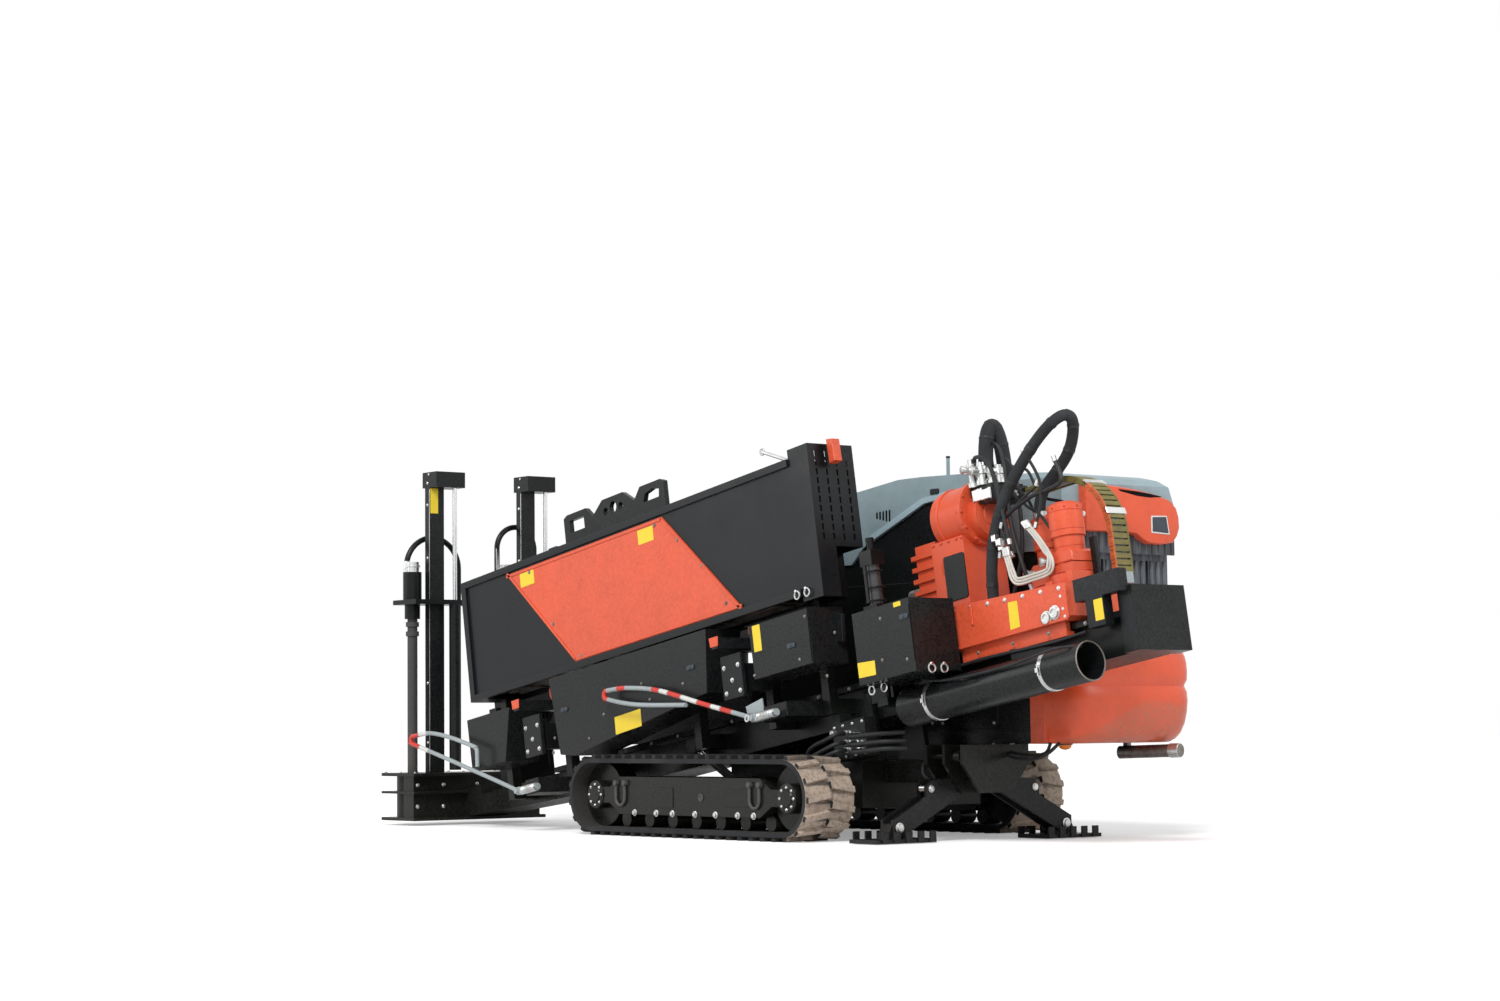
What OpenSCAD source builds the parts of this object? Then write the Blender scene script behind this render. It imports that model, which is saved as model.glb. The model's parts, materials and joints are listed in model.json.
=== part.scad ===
// Horizontal directional drill on rubber tracks, one module per sub-part.
// Millimetres. X is forward, the way it drills, Y is the machine's left, Z is up.
// The tilted drill frame has its own axes: x along the rail, z square to it, from the frame's pivot.

/* [Tracks] */
// overall length of a track with its lugs
track_length = 2208; // [1900:1:2600]
// overall height of a track with its lugs
track_height = 453; // [380:1:540]
// width of the belt
belt_width = 327; // [250:1:420]
// width over both tracks
overall_width = 1827; // [1760:1:2200]
// height of a lug over the belt
lug_height = 22; // [10:1:40]
// number of lugs round a track, in each of its two rows
lug_count = 49; // [40:1:60]

/* [Drill frame] */
// angle of the drill frame to the ground
frame_tilt = 9.11; // [0:0.01:15]
// height of the frame's pivot
pivot_z = 750; // [650:1:850]
// length of the rail behind the pivot
rail_rear = 1930; // [1700:1:2200]
// height of the drill string over the frame's pivot
drill_z = 490; // [420:1:540]

/* [Pipe box] */
// length of the pipe box
box_length = 3300; // [3200:1:3500]
// height of the pipe box
box_height = 746; // [600:1:900]
// width of the pipe box
box_width = 310; // [300:1:360]

/* [Anchors] */
// height of the anchor masts
mast_top = 2250; // [2000:1:2500]
// distance between the two masts
mast_spacing = 698; // [600:1:800]

/* [Hidden] */
$fn = 40;
pivot_x = -1000;
stretch = box_length - 3300;
front_x = 3400 + stretch;
rail_front = 3900 + stretch;
rail_end = rail_rear + 100;
rear_x = pivot_x - rail_end * cos(frame_tilt) - 120 * sin(frame_tilt);
shift_x = -(front_x + rear_x) / 2;
drill_y = 240;
belt_thick = 25;
half_run = (track_length - track_height) / 2;
track_mid = track_height / 2;
belt_r = track_mid - lug_height;
belt_y = (overall_width - belt_width) / 2;
track_path = 4 * half_run + 2 * PI * belt_r;
box_x0 = 60;
box_x1 = box_x0 + box_length;
box_y1 = 730;
box_y0 = box_y1 - box_width;
box_z0 = 554;
box_z1 = box_z0 + box_height;
pin_gap = 0.05;
stab_y = 100;
columns = [[140, 554], [620, 340], [1300, 554], [box_x1 - 1160, 554], [box_x1 - 760, 340],
           [box_x1 - 110, 554]];
shuttle_x = [650, box_x1 - 730];
tilt_y = overall_width / 2 - belt_width - 136.5;

// Helpers
module at_machine() translate([shift_x, 0, 0]) children();
module at_anchors() translate([shift_x + stretch, 0, 0]) children();
module on_frame() translate([shift_x + pivot_x, 0, pivot_z]) rotate([0, frame_tilt, 0]) children();
module block(x, y, z) translate([x[0], y[0], z[0]]) cube([x[1] - x[0], y[1] - y[0], z[1] - z[0]]);
module rod_x(x, y, z, r) translate([x[0], y, z]) rotate([0, 90, 0]) cylinder(h = x[1] - x[0], r = r);
module rod_y(x, y, z, r) translate([x, y[1], z]) rotate([90, 0, 0]) cylinder(h = y[1] - y[0], r = r);
module rod_z(x, y, z, r) translate([x, y, z[0]]) cylinder(h = z[1] - z[0], r = r);
module plate_xz(y, points)
    translate([0, y[1], 0]) rotate([90, 0, 0]) linear_extrude(y[1] - y[0]) polygon(points);
module plate_yz(x, points)
    translate([x[0], 0, 0]) rotate([90, 0, 90]) linear_extrude(x[1] - x[0]) polygon(points);
module bar(a, b, r) {
    d = b - a;
    translate(a) rotate([0, acos(d[2] / norm(d)), atan2(d[1], d[0])]) cylinder(h = norm(d), r = r);
}
function unit(v) = v / norm(v);
function tangent(p, i) = unit(p[min(i + 1, len(p) - 1)] - p[max(i - 1, 0)]);
function curve(a, b, c, d, n) =
    [for (i = [0:n]) let (t = i / n)
        pow(1 - t, 3) * a + 3 * pow(1 - t, 2) * t * b + 3 * (1 - t) * t * t * c + t * t * t * d];

// A hose swept along its route with n sides
module hose(p, r, ref = [0, 1, 0], n = 10) {
    rings = [for (i = [0:len(p) - 1])
        let (t = tangent(p, i), a = unit(cross(t, ref)), b = cross(t, a))
        for (k = [0:n - 1]) p[i] + r * (cos(360 * k / n) * a + sin(360 * k / n) * b)];
    last = (len(p) - 1) * n;
    sides = [for (i = [0:len(p) - 2]) for (k = [0:n - 1]) let (m = (k + 1) % n)
        each [[i * n + k, (i + 1) * n + k, (i + 1) * n + m], [i * n + k, (i + 1) * n + m, i * n + m]]];
    start_cap = [[for (k = [0:n - 1]) k]];
    end_cap = [[for (k = [0:n - 1]) last + n - 1 - k]];
    polyhedron(rings, concat(start_cap, sides, end_cap));
}

// Tracks
function track_at(s) =
    let (arc = PI * belt_r, top = 2 * half_run)
    s < top ? [s - half_run, track_mid + belt_r, 0] :
    s < top + arc ? let (a = (s - top) / belt_r * 180 / PI)
        [half_run + belt_r * sin(a), track_mid + belt_r * cos(a), a] :
    s < 2 * top + arc ? [half_run - (s - top - arc), track_mid - belt_r, 180] :
    let (a = (s - 2 * top - arc) / belt_r * 180 / PI)
        [-half_run - belt_r * sin(a), track_mid - belt_r * cos(a), 180 + a];

module stadium(r) {
    translate([-half_run, track_mid]) circle(r, $fn = 64);
    translate([half_run, track_mid]) circle(r, $fn = 64);
    translate([-half_run, track_mid - r]) square([2 * half_run, 2 * r]);
}

module lug(row, height) {
    w = row * (belt_width / 2 - 5);
    linear_extrude(height + 8) polygon([[-26, w], [6, w], [36, row * 14], [36, row * 4], [0, row * 4]]);
}

module track(side) {
    translate([0, side * belt_y + belt_width / 2, 0]) rotate([90, 0, 0]) linear_extrude(belt_width)
        difference() {
            stadium(belt_r);
            stadium(belt_r - belt_thick);
        }
    for (row = [-1, 1])
        for (i = [0:lug_count - 1]) {
            p = track_at((i + 0.5 + row / 4) * track_path / lug_count);
            translate([p[0], side * belt_y, p[1]]) rotate([0, p[2], 0]) translate([0, 0, -8])
                lug(row, p[2] % 180 == 0 ? lug_height : lug_height - 2.6);
        }
}

module track_left() color([0.16, 0.15, 0.14]) at_machine() track(1);
module track_right() color([0.16, 0.15, 0.14]) at_machine() track(-1);

module track_frame(side) {
    inner = side > 0 ? [belt_y - 110, belt_y + 120] : [-belt_y - 120, -belt_y + 110];
    wheel = [side * belt_y - 60, side * belt_y + 60];
    roller_r = 44;
    plate_xz(inner, [[-740, 180], [-640, 120], [640, 120], [740, 180], [740, 270], [640, 330],
                     [-640, 330], [-740, 270]]);
    for (i = [0:6])
        rod_y(-660 + 220 * i, wheel, track_mid - belt_r + belt_thick + roller_r + 0.3, roller_r);
    for (x = [-half_run, half_run]) {
        rod_y(x, wheel, track_mid, belt_r - belt_thick - 0.3);
        rod_y(x, inner, track_mid, 80);
    }
    block([-half_run, half_run], inner, [track_mid - 45, track_mid + 45]);
}

module track_frames() color([0.1, 0.12, 0.12]) at_machine() {
    track_frame(1);
    track_frame(-1);
}

// Chassis with the frame's pivot ears, the tilt cylinder's foot and the stabilizers' mount
stab_plates = [-1650, -1510, -1370];
module stab_plate(x) difference() {
    plate_yz([x, x + 20], [[stab_y - 230, 500], [stab_y - 230, 400], [stab_y - 110, 250],
                           [stab_y + 110, 250], [stab_y + 230, 400], [stab_y + 230, 500]]);
}

module chassis_frame() color([0.1, 0.12, 0.12]) at_machine() {
    arm_y = belt_y - 110;
    block([-950, 850], [-420, 420], [170, 290]);
    block([-950, -300], [-420, 420], [290, 420]);
    for (x = [-560, 400]) block([x, x + 160], [-arm_y, arm_y], [190, 280]);
    for (y = [-420, -160]) block([-950, 850], [y, y + 80], [290, 500]);
    for (y = [[60, 90], [390, 420]])
        plate_xz(y, [[-1100, 420], [-1024, 750], [-1017, 767], [-1000, 774], [-983, 767], [-976, 750],
                     [-860, 420]]);
    block([-1350, -940], [stab_y - 150, stab_y + 150], [300, 420]);
    for (x = stab_plates) stab_plate(x);
    rod_y(pivot_x, [60, 420], pivot_z, 18);
    for (s = [-1, 1]) {
        rod_x([-1650, -1350], stab_y + s * 60, 300, 20);
        rod_x([-1650, -1350], stab_y + s * 180, 440, 15);
    }
    for (y = [[tilt_y - 38, tilt_y - 30], [tilt_y + 30, tilt_y + 38]])
        plate_xz(y, [[-60, 200], [60, 200], [30, 250], [0, 270], [-30, 250]]);
    block([-60, 60], [412, tilt_y + 38], [170, 200]);
    rod_y(0, [tilt_y - 38, tilt_y + 38], 240, 15);
}

// Stabilizers, each an arm of two cheeks with a toothed pad
stab_bay = [[-1480, -1380], [-1620, -1520]];
module stabilizer(side) {
    bay = side > 0 ? stab_bay[0] : stab_bay[1];
    mid = (bay[0] + bay[1]) / 2;
    function y(v) = stab_y + side * v;
    function cheek() = [[y(30), 268], [y(95), 330], [y(290), 320], [y(330), 290], [y(330), 235],
                        [y(560), 120], [y(560), 40], [y(480), 40]];
    difference() {
        union() {
            for (x = [[bay[0], bay[0] + 20], [bay[1] - 20, bay[1]]]) plate_yz(x, cheek());
            block([mid - 110, mid + 110], side > 0 ? [y(320), y(720)] : [y(720), y(320)], [4, 24]);
            for (i = [0:4])
                for (x = [mid - 120, mid + 110])
                    block([x, x + 10], side > 0 ? [y(330 + 80 * i), y(370 + 80 * i)] :
                                                  [y(370 + 80 * i), y(330 + 80 * i)], [4, 64]);
            rod_x(bay, y(520), 80, 28);
            plate_yz([mid - 40, mid + 40], [[y(440), 24], [y(600), 24], [y(560), 100], [y(480), 100]]);
        }
        rod_x([bay[0] - 1, bay[1] + 1], y(60), 300, 20 + pin_gap);
    }
    rod_x(bay, y(300), 275, 14);
}
module stabilizer_left() color([0.1, 0.1, 0.1]) at_machine() stabilizer(1);
module stabilizer_right() color([0.1, 0.1, 0.1]) at_machine() stabilizer(-1);

stab_base = [-180, 440];
stab_eye = [300, 275];
module stab_barrel(side) {
    x = side > 0 ? -1430 : -1570;
    a = [x, stab_y + side * stab_base[0], stab_base[1]];
    b = [x, stab_y + side * stab_eye[0], stab_eye[1]];
    d = unit(b - a);
    difference() {
        union() {
            bar(a + 18 * d, a + 320 * d, 27);
            rod_x([x - 22, x + 22], a[1], a[2], 28);
        }
        rod_x([x - 30, x + 30], a[1], a[2], 15 + pin_gap);
        bar(a + 60 * d, a + 330 * d, 13.1);
    }
}
module stab_rod(side) {
    x = side > 0 ? -1430 : -1570;
    a = [x, stab_y + side * stab_base[0], stab_base[1]];
    b = [x, stab_y + side * stab_eye[0], stab_eye[1]];
    d = unit(b - a);
    difference() {
        union() {
            bar(b - 300 * d, b - 20 * d, 13);
            rod_x([x - 20, x + 20], b[1], b[2], 25);
        }
        rod_x([x - 30, x + 30], b[1], b[2], 18);
    }
}
module stab_barrel_left() color([0.12, 0.12, 0.12]) at_machine() stab_barrel(1);
module stab_barrel_right() color([0.12, 0.12, 0.12]) at_machine() stab_barrel(-1);
module stab_rod_left() color([0.8, 0.8, 0.8]) at_machine() stab_rod(1);
module stab_rod_right() color([0.8, 0.8, 0.8]) at_machine() stab_rod(-1);

// Tilt cylinder, left of the rail beam
tilt_foot = [0, tilt_y, 240];
tilt_eye = [1500, tilt_y, -30];
tilt_eye_m = [pivot_x + tilt_eye[0] * cos(frame_tilt) + tilt_eye[2] * sin(frame_tilt), tilt_y,
              pivot_z - tilt_eye[0] * sin(frame_tilt) + tilt_eye[2] * cos(frame_tilt)];
module tilt_barrel() color([0.12, 0.12, 0.12]) at_machine() {
    d = unit(tilt_eye_m - tilt_foot);
    difference() {
        union() {
            bar(tilt_foot + 20 * d, tilt_foot + 390 * d, 25);
            rod_y(tilt_foot[0], [tilt_y - 26, tilt_y + 26], tilt_foot[2], 30);
        }
        rod_y(tilt_foot[0], [tilt_y - 30, tilt_y + 30], tilt_foot[2], 15 + pin_gap);
        bar(tilt_foot + 80 * d, tilt_foot + 400 * d, 15.1);
    }
}
module tilt_rod() color([0.8, 0.8, 0.8]) at_machine() {
    d = unit(tilt_eye_m - tilt_foot);
    difference() {
        union() {
            bar(tilt_foot + 120 * d, tilt_eye_m - 20 * d, 15);
            rod_y(tilt_eye_m[0], [tilt_y - 22, tilt_y + 22], tilt_eye_m[2], 28);
        }
        rod_y(tilt_eye_m[0], [tilt_y - 30, tilt_y + 30], tilt_eye_m[2], 20);
    }
}

// Engine end
deck = [500, 560];
module engine_base() color([0.1, 0.12, 0.12]) at_machine() {
    block([-1850, 1950], [-880, -70], deck);
    for (y = [[-100, -80], [-880, -860]]) {
        block([-1850, -1505], y, [560, 1500]);
        plate_xz(y, [[-1505, 560], [380, 560], [380, 1499.7], [-300, 1499.7], [-400, 1589.5],
                     [-923, 1802.5], [-1153, 1830.5], [-1505, 1831.5]]);
    }
    block([350, 380], [-860, -100], [560, 1499.7]);
    block([700, 1900], [-860, -120], [560, 900]);
    block([1900, 1950], [-860, -120], [560, 620]);
}
module engine_block() color([0.3, 0.3, 0.3]) at_machine() block([-1400, 50], [-720, -230], [560, 1380]);

hood_side = [[-1500, 1832], [-1153, 1831], [-923, 1803], [-400, 1590], [-300, 1500], [400, 1500],
             [400, 1850], [340, 1880], [-372, 1907], [-708, 1950], [-900, 1952], [-1450, 1940],
             [-1500, 1915]];
hood_inner = [[-1470, 1400], [370, 1400], [370, 1835], [330, 1850], [-380, 1877], [-708, 1920],
              [-900, 1922], [-1440, 1910], [-1470, 1900]];
hinge = [-1505, 1930];
module hood() color([0.45, 0.55, 0.58]) at_machine() {
    difference() {
        plate_xz([-885, -65], hood_side);
        plate_xz([-855, -95], hood_inner);
    }
    difference() {
        for (y = [[-560, -505], [-445, -390]])
            plate_xz(y, [[-1490, 1905], [-1470, 1925], [-1485, 1950], [-1505, 1944], [-1517, 1930],
                         [-1505, 1918]]);
        rod_y(hinge[0], [-570, -380], hinge[1], 8 + pin_gap);
    }
    rod_z(-860, -300, [1940, 2080], 10);
}
module grille() color([0.06, 0.06, 0.06]) at_machine() {
    block([-1950, -1850], [-880, -80], [965, 1005]);
    block([-1950, -1850], [-880, -80], [1460, 1500]);
    for (i = [0:4]) block([-1950, -1850], [-880 + 163.5 * i, -734 + 163.5 * i], [1005, 1460]);
    block([-1860, -1850], [-860, -100], [1005, 1460]);
}
module engine_cowl() color([0.85, 0.3, 0.2]) at_machine() {
    intersection() {
        plate_xz([-885, -65], [[-2000, 1500], [-1510, 1500], [-1510, 1905], [-1600, 1925],
                               [-1866, 1908], [-1960, 1885], [-2000, 1850]]);
        plate_yz([-2010, -1500], [[-885, 1490], [-885, 1760], [-850, 1850], [-780, 1905], [-680, 1930],
                                  [-270, 1930], [-170, 1925], [-100, 1910], [-65, 1880], [-65, 1490]]);
    }
    plate_yz([-2050, -2000], [[-200, 1600], [-494, 1600], [-594, 1590], [-656, 1540], [-850, 1545],
                              [-885, 1620], [-870, 1720], [-800, 1790], [-480, 1835], [-200, 1850]]);
    plate_xz([-900, -50], [[-2140, 640], [-2110, 560], [-2060, 510], [-2030, 500], [-1850, 500],
                           [-1850, 965], [-2060, 965], [-2110, 940], [-2140, 880]]);
    plate_xz([-500, -450], [[-1560, 1890], [-1512, 1900], [-1497, 1930], [-1505, 1940], [-1530, 1940]]);
    rod_y(hinge[0], [-560, -390], hinge[1], 8);
}
module tail_pipe() color([0.35, 0.3, 0.27]) at_machine() {
    bar([-1750, -700, 448], [-2110, -790, 458], 34);
    block([-1800, -1770], [-735, -705], [455, 500]);
}
module operator_console() color([0.1, 0.1, 0.1]) at_machine() {
    block([1780, 1880], [-760, -240], [900, 1350]);
}
module operator_seat() color([0.12, 0.12, 0.13]) at_machine() {
    rod_z(1300, -495, [900.3, 1060], 60);
    block([1120, 1540], [-700, -290], [1060, 1180]);
    block([1180, 1560], [-795, -195], [1060, 1080]);
    for (y = [-795, -280]) {
        block([1180, 1560], [y, y + 85], [1080, 1300]);
        rod_z(1500, y + 42, [1300, 1420], 16);
    }
    plate_xz([-700, -290], [[1120, 1180], [1250, 1180], [1180, 2040], [1090, 2040]]);
}

// Drill frame
module frame_beam() color([0.1, 0.12, 0.12]) on_frame() {
    difference() {
        union() {
            plate_xz([100, 380], [[-rail_rear, -120], [2400, -120], [rail_front, -60], [rail_front, 60],
                                  [-rail_rear, 60]]);
            for (y = [[60, 130], [350, 420]]) block([-rail_rear, box_x1 - 360], y, [60, 90]);
            for (c = columns) {
                block([c[0], c[0] + 60], [380, 560], [-60, 20]);
                block([c[0], c[0] + 60], [500, 560], [20, c[1]]);
            }
            block([-650, -590], [380, 500], [-20, 20]);
            for (x = shuttle_x) difference() {
                block([x - 60, x + 60], [485, 528], [340, 480]);
                block([x - 31, x + 31], [480, 540], [379.7, 490]);
            }
            for (y = [[tilt_y - 38, tilt_y - 30], [tilt_y + 30, tilt_y + 38]])
                plate_xz(y, [[1470, -58], [1530, -58], [1545, -8], [1545, 22], [1455, 22], [1455, -8]]);
            block([1455, 1545], [380, tilt_y + 38], [8, 22]);
            rod_y(1500, [tilt_y - 38, tilt_y + 38], -30, 10);
            block([-rail_end, -rail_rear], [60, 420], [-120, 200]);
            block([-rail_rear - 80, -rail_rear + 230], [420, 480], [172, 282]);
            block([-rail_rear + 40, -rail_rear + 160], [420, 480], [30, 172]);
        }
        rod_y(0, [99, 381], 0, 18 + pin_gap);
    }
}

rack_pitch = 40;
module rack() color([0.45, 0.44, 0.42]) on_frame()
    plate_xz([205, 275], concat([[-1900, 60], [-1900, 74]],
        [for (i = [0:121]) each [[-1892 + rack_pitch * i, 74], [-1884 + rack_pitch * i, 89],
                                 [-1872 + rack_pitch * i, 89], [-1864 + rack_pitch * i, 74]]],
        [[2990, 74], [2990, 60]]));

module pipe_box() color([0.1, 0.1, 0.1]) on_frame() {
    wall = 12;
    tail = [box_x0 - 170, box_x0];
    tail_top = box_z1 + 50;
    difference() {
        block([box_x0, box_x1], [box_y0, box_y1], [box_z0, box_z1]);
        block([box_x0 + wall, box_x1 - wall], [box_y0 + wall, box_y1 - wall], [box_z0 - 1, box_z1 + 1]);
    }
    difference() {
        union() {
            block(tail, [box_y0, box_y1], [box_z0 + 240, tail_top]);
            block(tail, [box_y1 - 125, box_y1], [box_z0 - 30, box_z0 + 240]);
        }
        block([tail[0] + wall, tail[1]], [box_y0 + wall, box_y1 - wall], [box_z0 - 40, tail_top + 1]);
        for (c = [0:3])
            for (r = [0:9])
                block([tail[0] - 1, tail[0] + wall + 1], [box_y0 + 44 + 70 * c, box_y0 + 56 + 70 * c],
                      [box_z0 + 276 + 50 * r, box_z0 + 310 + 50 * r]);
    }
    for (z = [box_z0, box_z1 - 40]) block([box_x0, box_x1], [box_y1, box_y1 + 14], [z, z + 40]);
    block([box_x1 - 50, box_x1], [box_y1, box_y1 + 14], [box_z0 + 40, box_z1 - 40]);
    for (c = columns)
        if (c[1] > 500) block([c[0] - 20, c[0] + 80], [box_y0, box_y1], [box_z0, box_z0 + 12]);
}
module box_panel() color([0.85, 0.3, 0.2]) on_frame()
    plate_xz([box_y1, box_y1 + 6], [[581, 598], [2207, 598], [2849, 1248], [1228, 1248]]);
module drill_pipes() color([0.4, 0.36, 0.33]) on_frame() {
    for (c = [0:3])
        for (r = [0:8])
            rod_x([box_x0 + 100, box_x1 - 150], box_y0 + 47 + 72 * c, box_z0 + 60 + 72 * r, 33);
    for (x = [box_x0 + 360, box_x1 - 440])
        block([x, x + 12], [box_y0 + 12, box_y1 - 12], [box_z0 + 20, box_z1 - 60]);
}
bracket_x = 1885;
bracket_half = [[515, 45], [515, 200], [480, 216], [280, 216], [215, 151], [105, 225]];
module lifting_bracket() color([0.12, 0.12, 0.12]) on_frame() {
    difference() {
        plate_xz([560, 590], [for (p = bracket_half) [bracket_x - p[0], box_z1 + p[1]],
                              for (i = [5:-1:0]) [bracket_x + bracket_half[i][0], box_z1 + bracket_half[i][1]]]);
        for (x = [-77, 77]) rod_y(bracket_x + x, [550, 600], box_z1 + 150, 22);
        rod_y(bracket_x, [550, 600], box_z1 + 160, 34);
        plate_xz([550, 600], [for (p = [[305, 103], [305, 175], [455, 175], [455, 103]])
                                  [bracket_x + p[0], box_z1 + p[1]]]);
        plate_xz([550, 600], [for (p = [[305, 118], [325, 164], [400, 178], [465, 164], [458, 118]])
                                  [bracket_x - p[0], box_z1 + p[1]]]);
    }
    for (x = [bracket_x - 515, bracket_x + 100]) block([x, x + 415], [560, 590], [box_z1, box_z1 + 45]);
    for (x = [bracket_x - 500, bracket_x + 420]) block([x, x + 80], [box_y0, box_y1], [box_z1, box_z1 + 12]);
}

module frame_covers() color([0.1, 0.1, 0.1]) on_frame() {
    plate_xz([560, 800], [[box_x1 - 413, 128], [box_x1 - 38, 128], [box_x1 - 27, 440],
                          [box_x1 - 505, 440]]);
    plate_xz([560, 800], [[892, 184], [2211, 45], [2358, 74], [2408, 530], [845, 530]]);
    plate_xz([560, 800], [[-50, 178], [455, 178], [465, 475], [-50, 475]]);
    plate_xz([500, 800], [[-850, -8], [-400, -8], [-400, 365], [-850, 365]]);
}
module frame_fittings() color([0.5, 0.5, 0.5]) on_frame() {
    block([-330, -150], [380, 520], [-60, 15]);
    for (y = [475, 505]) rod_z(-240, y, [15, 60], 12);
    block([-370, -290], [380, 600], [-100, -60]);
    rod_z(-330, 560, [-60, 400], 18);
    block([-385, -275], [510, 610], [400, 430]);
    rod_z(-330, 560, [430, 640], 38);
    block([-378, -282], [515, 605], [640, 720]);
    rod_z(-330, 560, [720, 790], 22);
    block([140, 200], [430, 510], [-110, -60]);
    block([-60, 210], [430, 510], [-310, -110]);
    for (x = shuttle_x) {
        block([x - 30, x + 30], [560, 780], [150, 300]);
        block([x - 90, x + 90], [780, 800], [110, 350]);
    }
}

wrench_x = box_x1 + 120;
module wrench_fixed() color([0.85, 0.3, 0.2]) on_frame() difference() {
    union() {
        block([wrench_x, wrench_x + 160], [90, 390], [60, 640]);
        rod_x([wrench_x - 150, wrench_x], drill_y, drill_z, 75);
        block([wrench_x + 40, wrench_x + 120], [20, 460], [430, 550]);
    }
    rod_x([wrench_x - 180, wrench_x + 220], drill_y, drill_z, 46);
}
module wrench_rotating() color([0.85, 0.3, 0.2]) on_frame() difference() {
    union() {
        rod_x([wrench_x - 142, wrench_x - 10], drill_y, drill_z, 150);
        block([wrench_x - 108, wrench_x - 30], [20, 460], [430, 550]);
    }
    rod_x([wrench_x - 180, wrench_x + 20], drill_y, drill_z, 75 + pin_gap);
}

// Front anchors: one base, two upright masts, drives that slide on them
anchor_x = 3250;
anchor_y = 650;
base_y = [-mast_spacing, 0];
module anchor_base() color([0.1, 0.12, 0.12]) {
    at_anchors() difference() {
        union() {
            block([3000, 3400], [-200, 790], [310, 330]);
            block([3000, 3400], [-200, 790], [200, 215]);
            block([3000, 3400], [-200, 790], [30, 50]);
            block([3040, 3160], [-180, 770], [50, 310]);
            for (d = base_y) rod_z(anchor_x, anchor_y + d, [50, 310], 100);
        }
        for (d = base_y) rod_z(anchor_x, anchor_y + d, [20, 340], 84);
    }
    on_frame() block([rail_front, rail_front + 330], [100, 380], [-55, 120]);
}
module mast(d) {
    block([3140, 3200], [480 + d, 585 + d], [330, mast_top]);
    block([3060, 3230], [370 + d, 585 + d], [mast_top - 100, mast_top]);
}
module masts() color([0.08, 0.08, 0.08]) at_anchors() for (d = base_y) mast(d);
module mast_rods() color([0.8, 0.8, 0.8]) at_anchors()
    for (d = base_y) rod_z(3090, 430 + d, [500, mast_top - 100], 14);

plate_z = 1400;
module anchor_drive(d) difference() {
    union() {
        block([3060, 3340], [390 + d, 740 + d], [plate_z, plate_z + 30]);
        rod_z(anchor_x, anchor_y + d, [plate_z + 30, plate_z + 210], 60);
        rod_z(anchor_x, anchor_y + d, [plate_z + 210, plate_z + 275], 44);
        rod_z(anchor_x, anchor_y + d, [plate_z - 90, plate_z], 50);
        rod_z(3090, 430 + d, [345, plate_z], 38);
    }
    block([3133, 3207], [473 + d, 592 + d], [plate_z - 10, plate_z + 40]);
    rod_z(3090, 430 + d, [340, plate_z + 40], 14.1);
    rod_z(anchor_x, anchor_y + d, [plate_z - 100, plate_z], 32 + pin_gap);
}
// A drive's hose, an arch from the motor over to the plate
module anchor_hose(legs, top) {
    mid = (legs[0] + legs[1]) / 2;
    translate([3257, mid, top]) rotate([90, 0, 90])
        rotate_extrude(angle = 180) translate([(legs[0] - legs[1]) / 2, 0]) circle(18, $fn = 16);
    for (y = legs) rod_z(3257, y, [plate_z + 30, top], 18);
}
module anchor_drive_left() color([0.15, 0.15, 0.15]) at_anchors() {
    anchor_drive(base_y[1]);
    anchor_hose([690, 300] + [1, 1] * base_y[1], plate_z + 240);
    block([3225, 3290], [275 + base_y[1], 390 + base_y[1]], [plate_z, plate_z + 30]);
}
module anchor_drive_right() color([0.15, 0.15, 0.15]) at_anchors() {
    anchor_drive(base_y[0]);
    anchor_hose([700, 410] + [1, 1] * base_y[0], plate_z + 380);
}

module anchor_auger(d) {
    rod_z(anchor_x, anchor_y + d, [60, plate_z - 0.1], 32);
    for (z = [90, 200]) rod_z(anchor_x, anchor_y + d, [z, z + 10], 76);
    for (z = [plate_z - 200, plate_z - 140]) rod_z(anchor_x, anchor_y + d, [z, z + 30], 42);
}
module anchor_auger_left() color([0.2, 0.2, 0.2]) at_anchors() anchor_auger(base_y[1]);
module anchor_auger_right() color([0.2, 0.2, 0.2]) at_anchors() anchor_auger(base_y[0]);

// Trip bars, each one tube bent back on itself beside the covers
trip_y = 860;
trip_near = [[428.3, -35], [650, 43], [884, 126], [1257, 261], [1548, 326], [1740, 345], [1759, 343],
             [1772, 335], [1777, 321], [1772, 307], [1757, 299], [1601, 250], [1402, 204], [1012, 137]];
trip_far = [[2740.3, -82], [2915, -8], [3175, 98], [3550, 250], [3890, 386], [3901, 396], [3905, 410],
            [3899, 424], [3887, 432], [3872, 431], [3676, 418], [3449, 355], [3186, 256], [3168, 245],
            [3158, 226], [3159, 200], [3168, 130]];
module trip_tube(p) hose([for (q = p) [q[0], trip_y, q[1]]], 13);
module trip_hub(p) {
    rod_y(p[0] - 20, [800, trip_y + 40], p[1], 18);
    block([p[0] - 40, p[0] - 0.3], [trip_y - 20, trip_y + 20], [p[1] - 20, p[1] + 20]);
    rod_x([p[0] - 200, p[0] - 40], trip_y, p[1], 20);
}
module trip_bars() color([0.8, 0.8, 0.78]) on_frame() {
    trip_tube(trip_near);
    trip_hub(trip_near[0]);
    block([200, 425], [500, 812], [-60, 20]);
    translate([stretch, 0, 0]) {
        trip_tube(trip_far);
        trip_hub(trip_far[0]);
        block([2600, 2740], [560, 812], [-110, -20]);
    }
}
tube_y = 515;
module storage_tube() color([0.08, 0.08, 0.08]) on_frame() {
    difference() {
        rod_x([-1790, -446], tube_y, -130, 100);
        rod_x([-1800, -470], tube_y, -130, 92);
    }
    for (x = [-1600, -700]) block([x, x + 40], [380, tube_y - 93], [-110, -60]);
}

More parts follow.
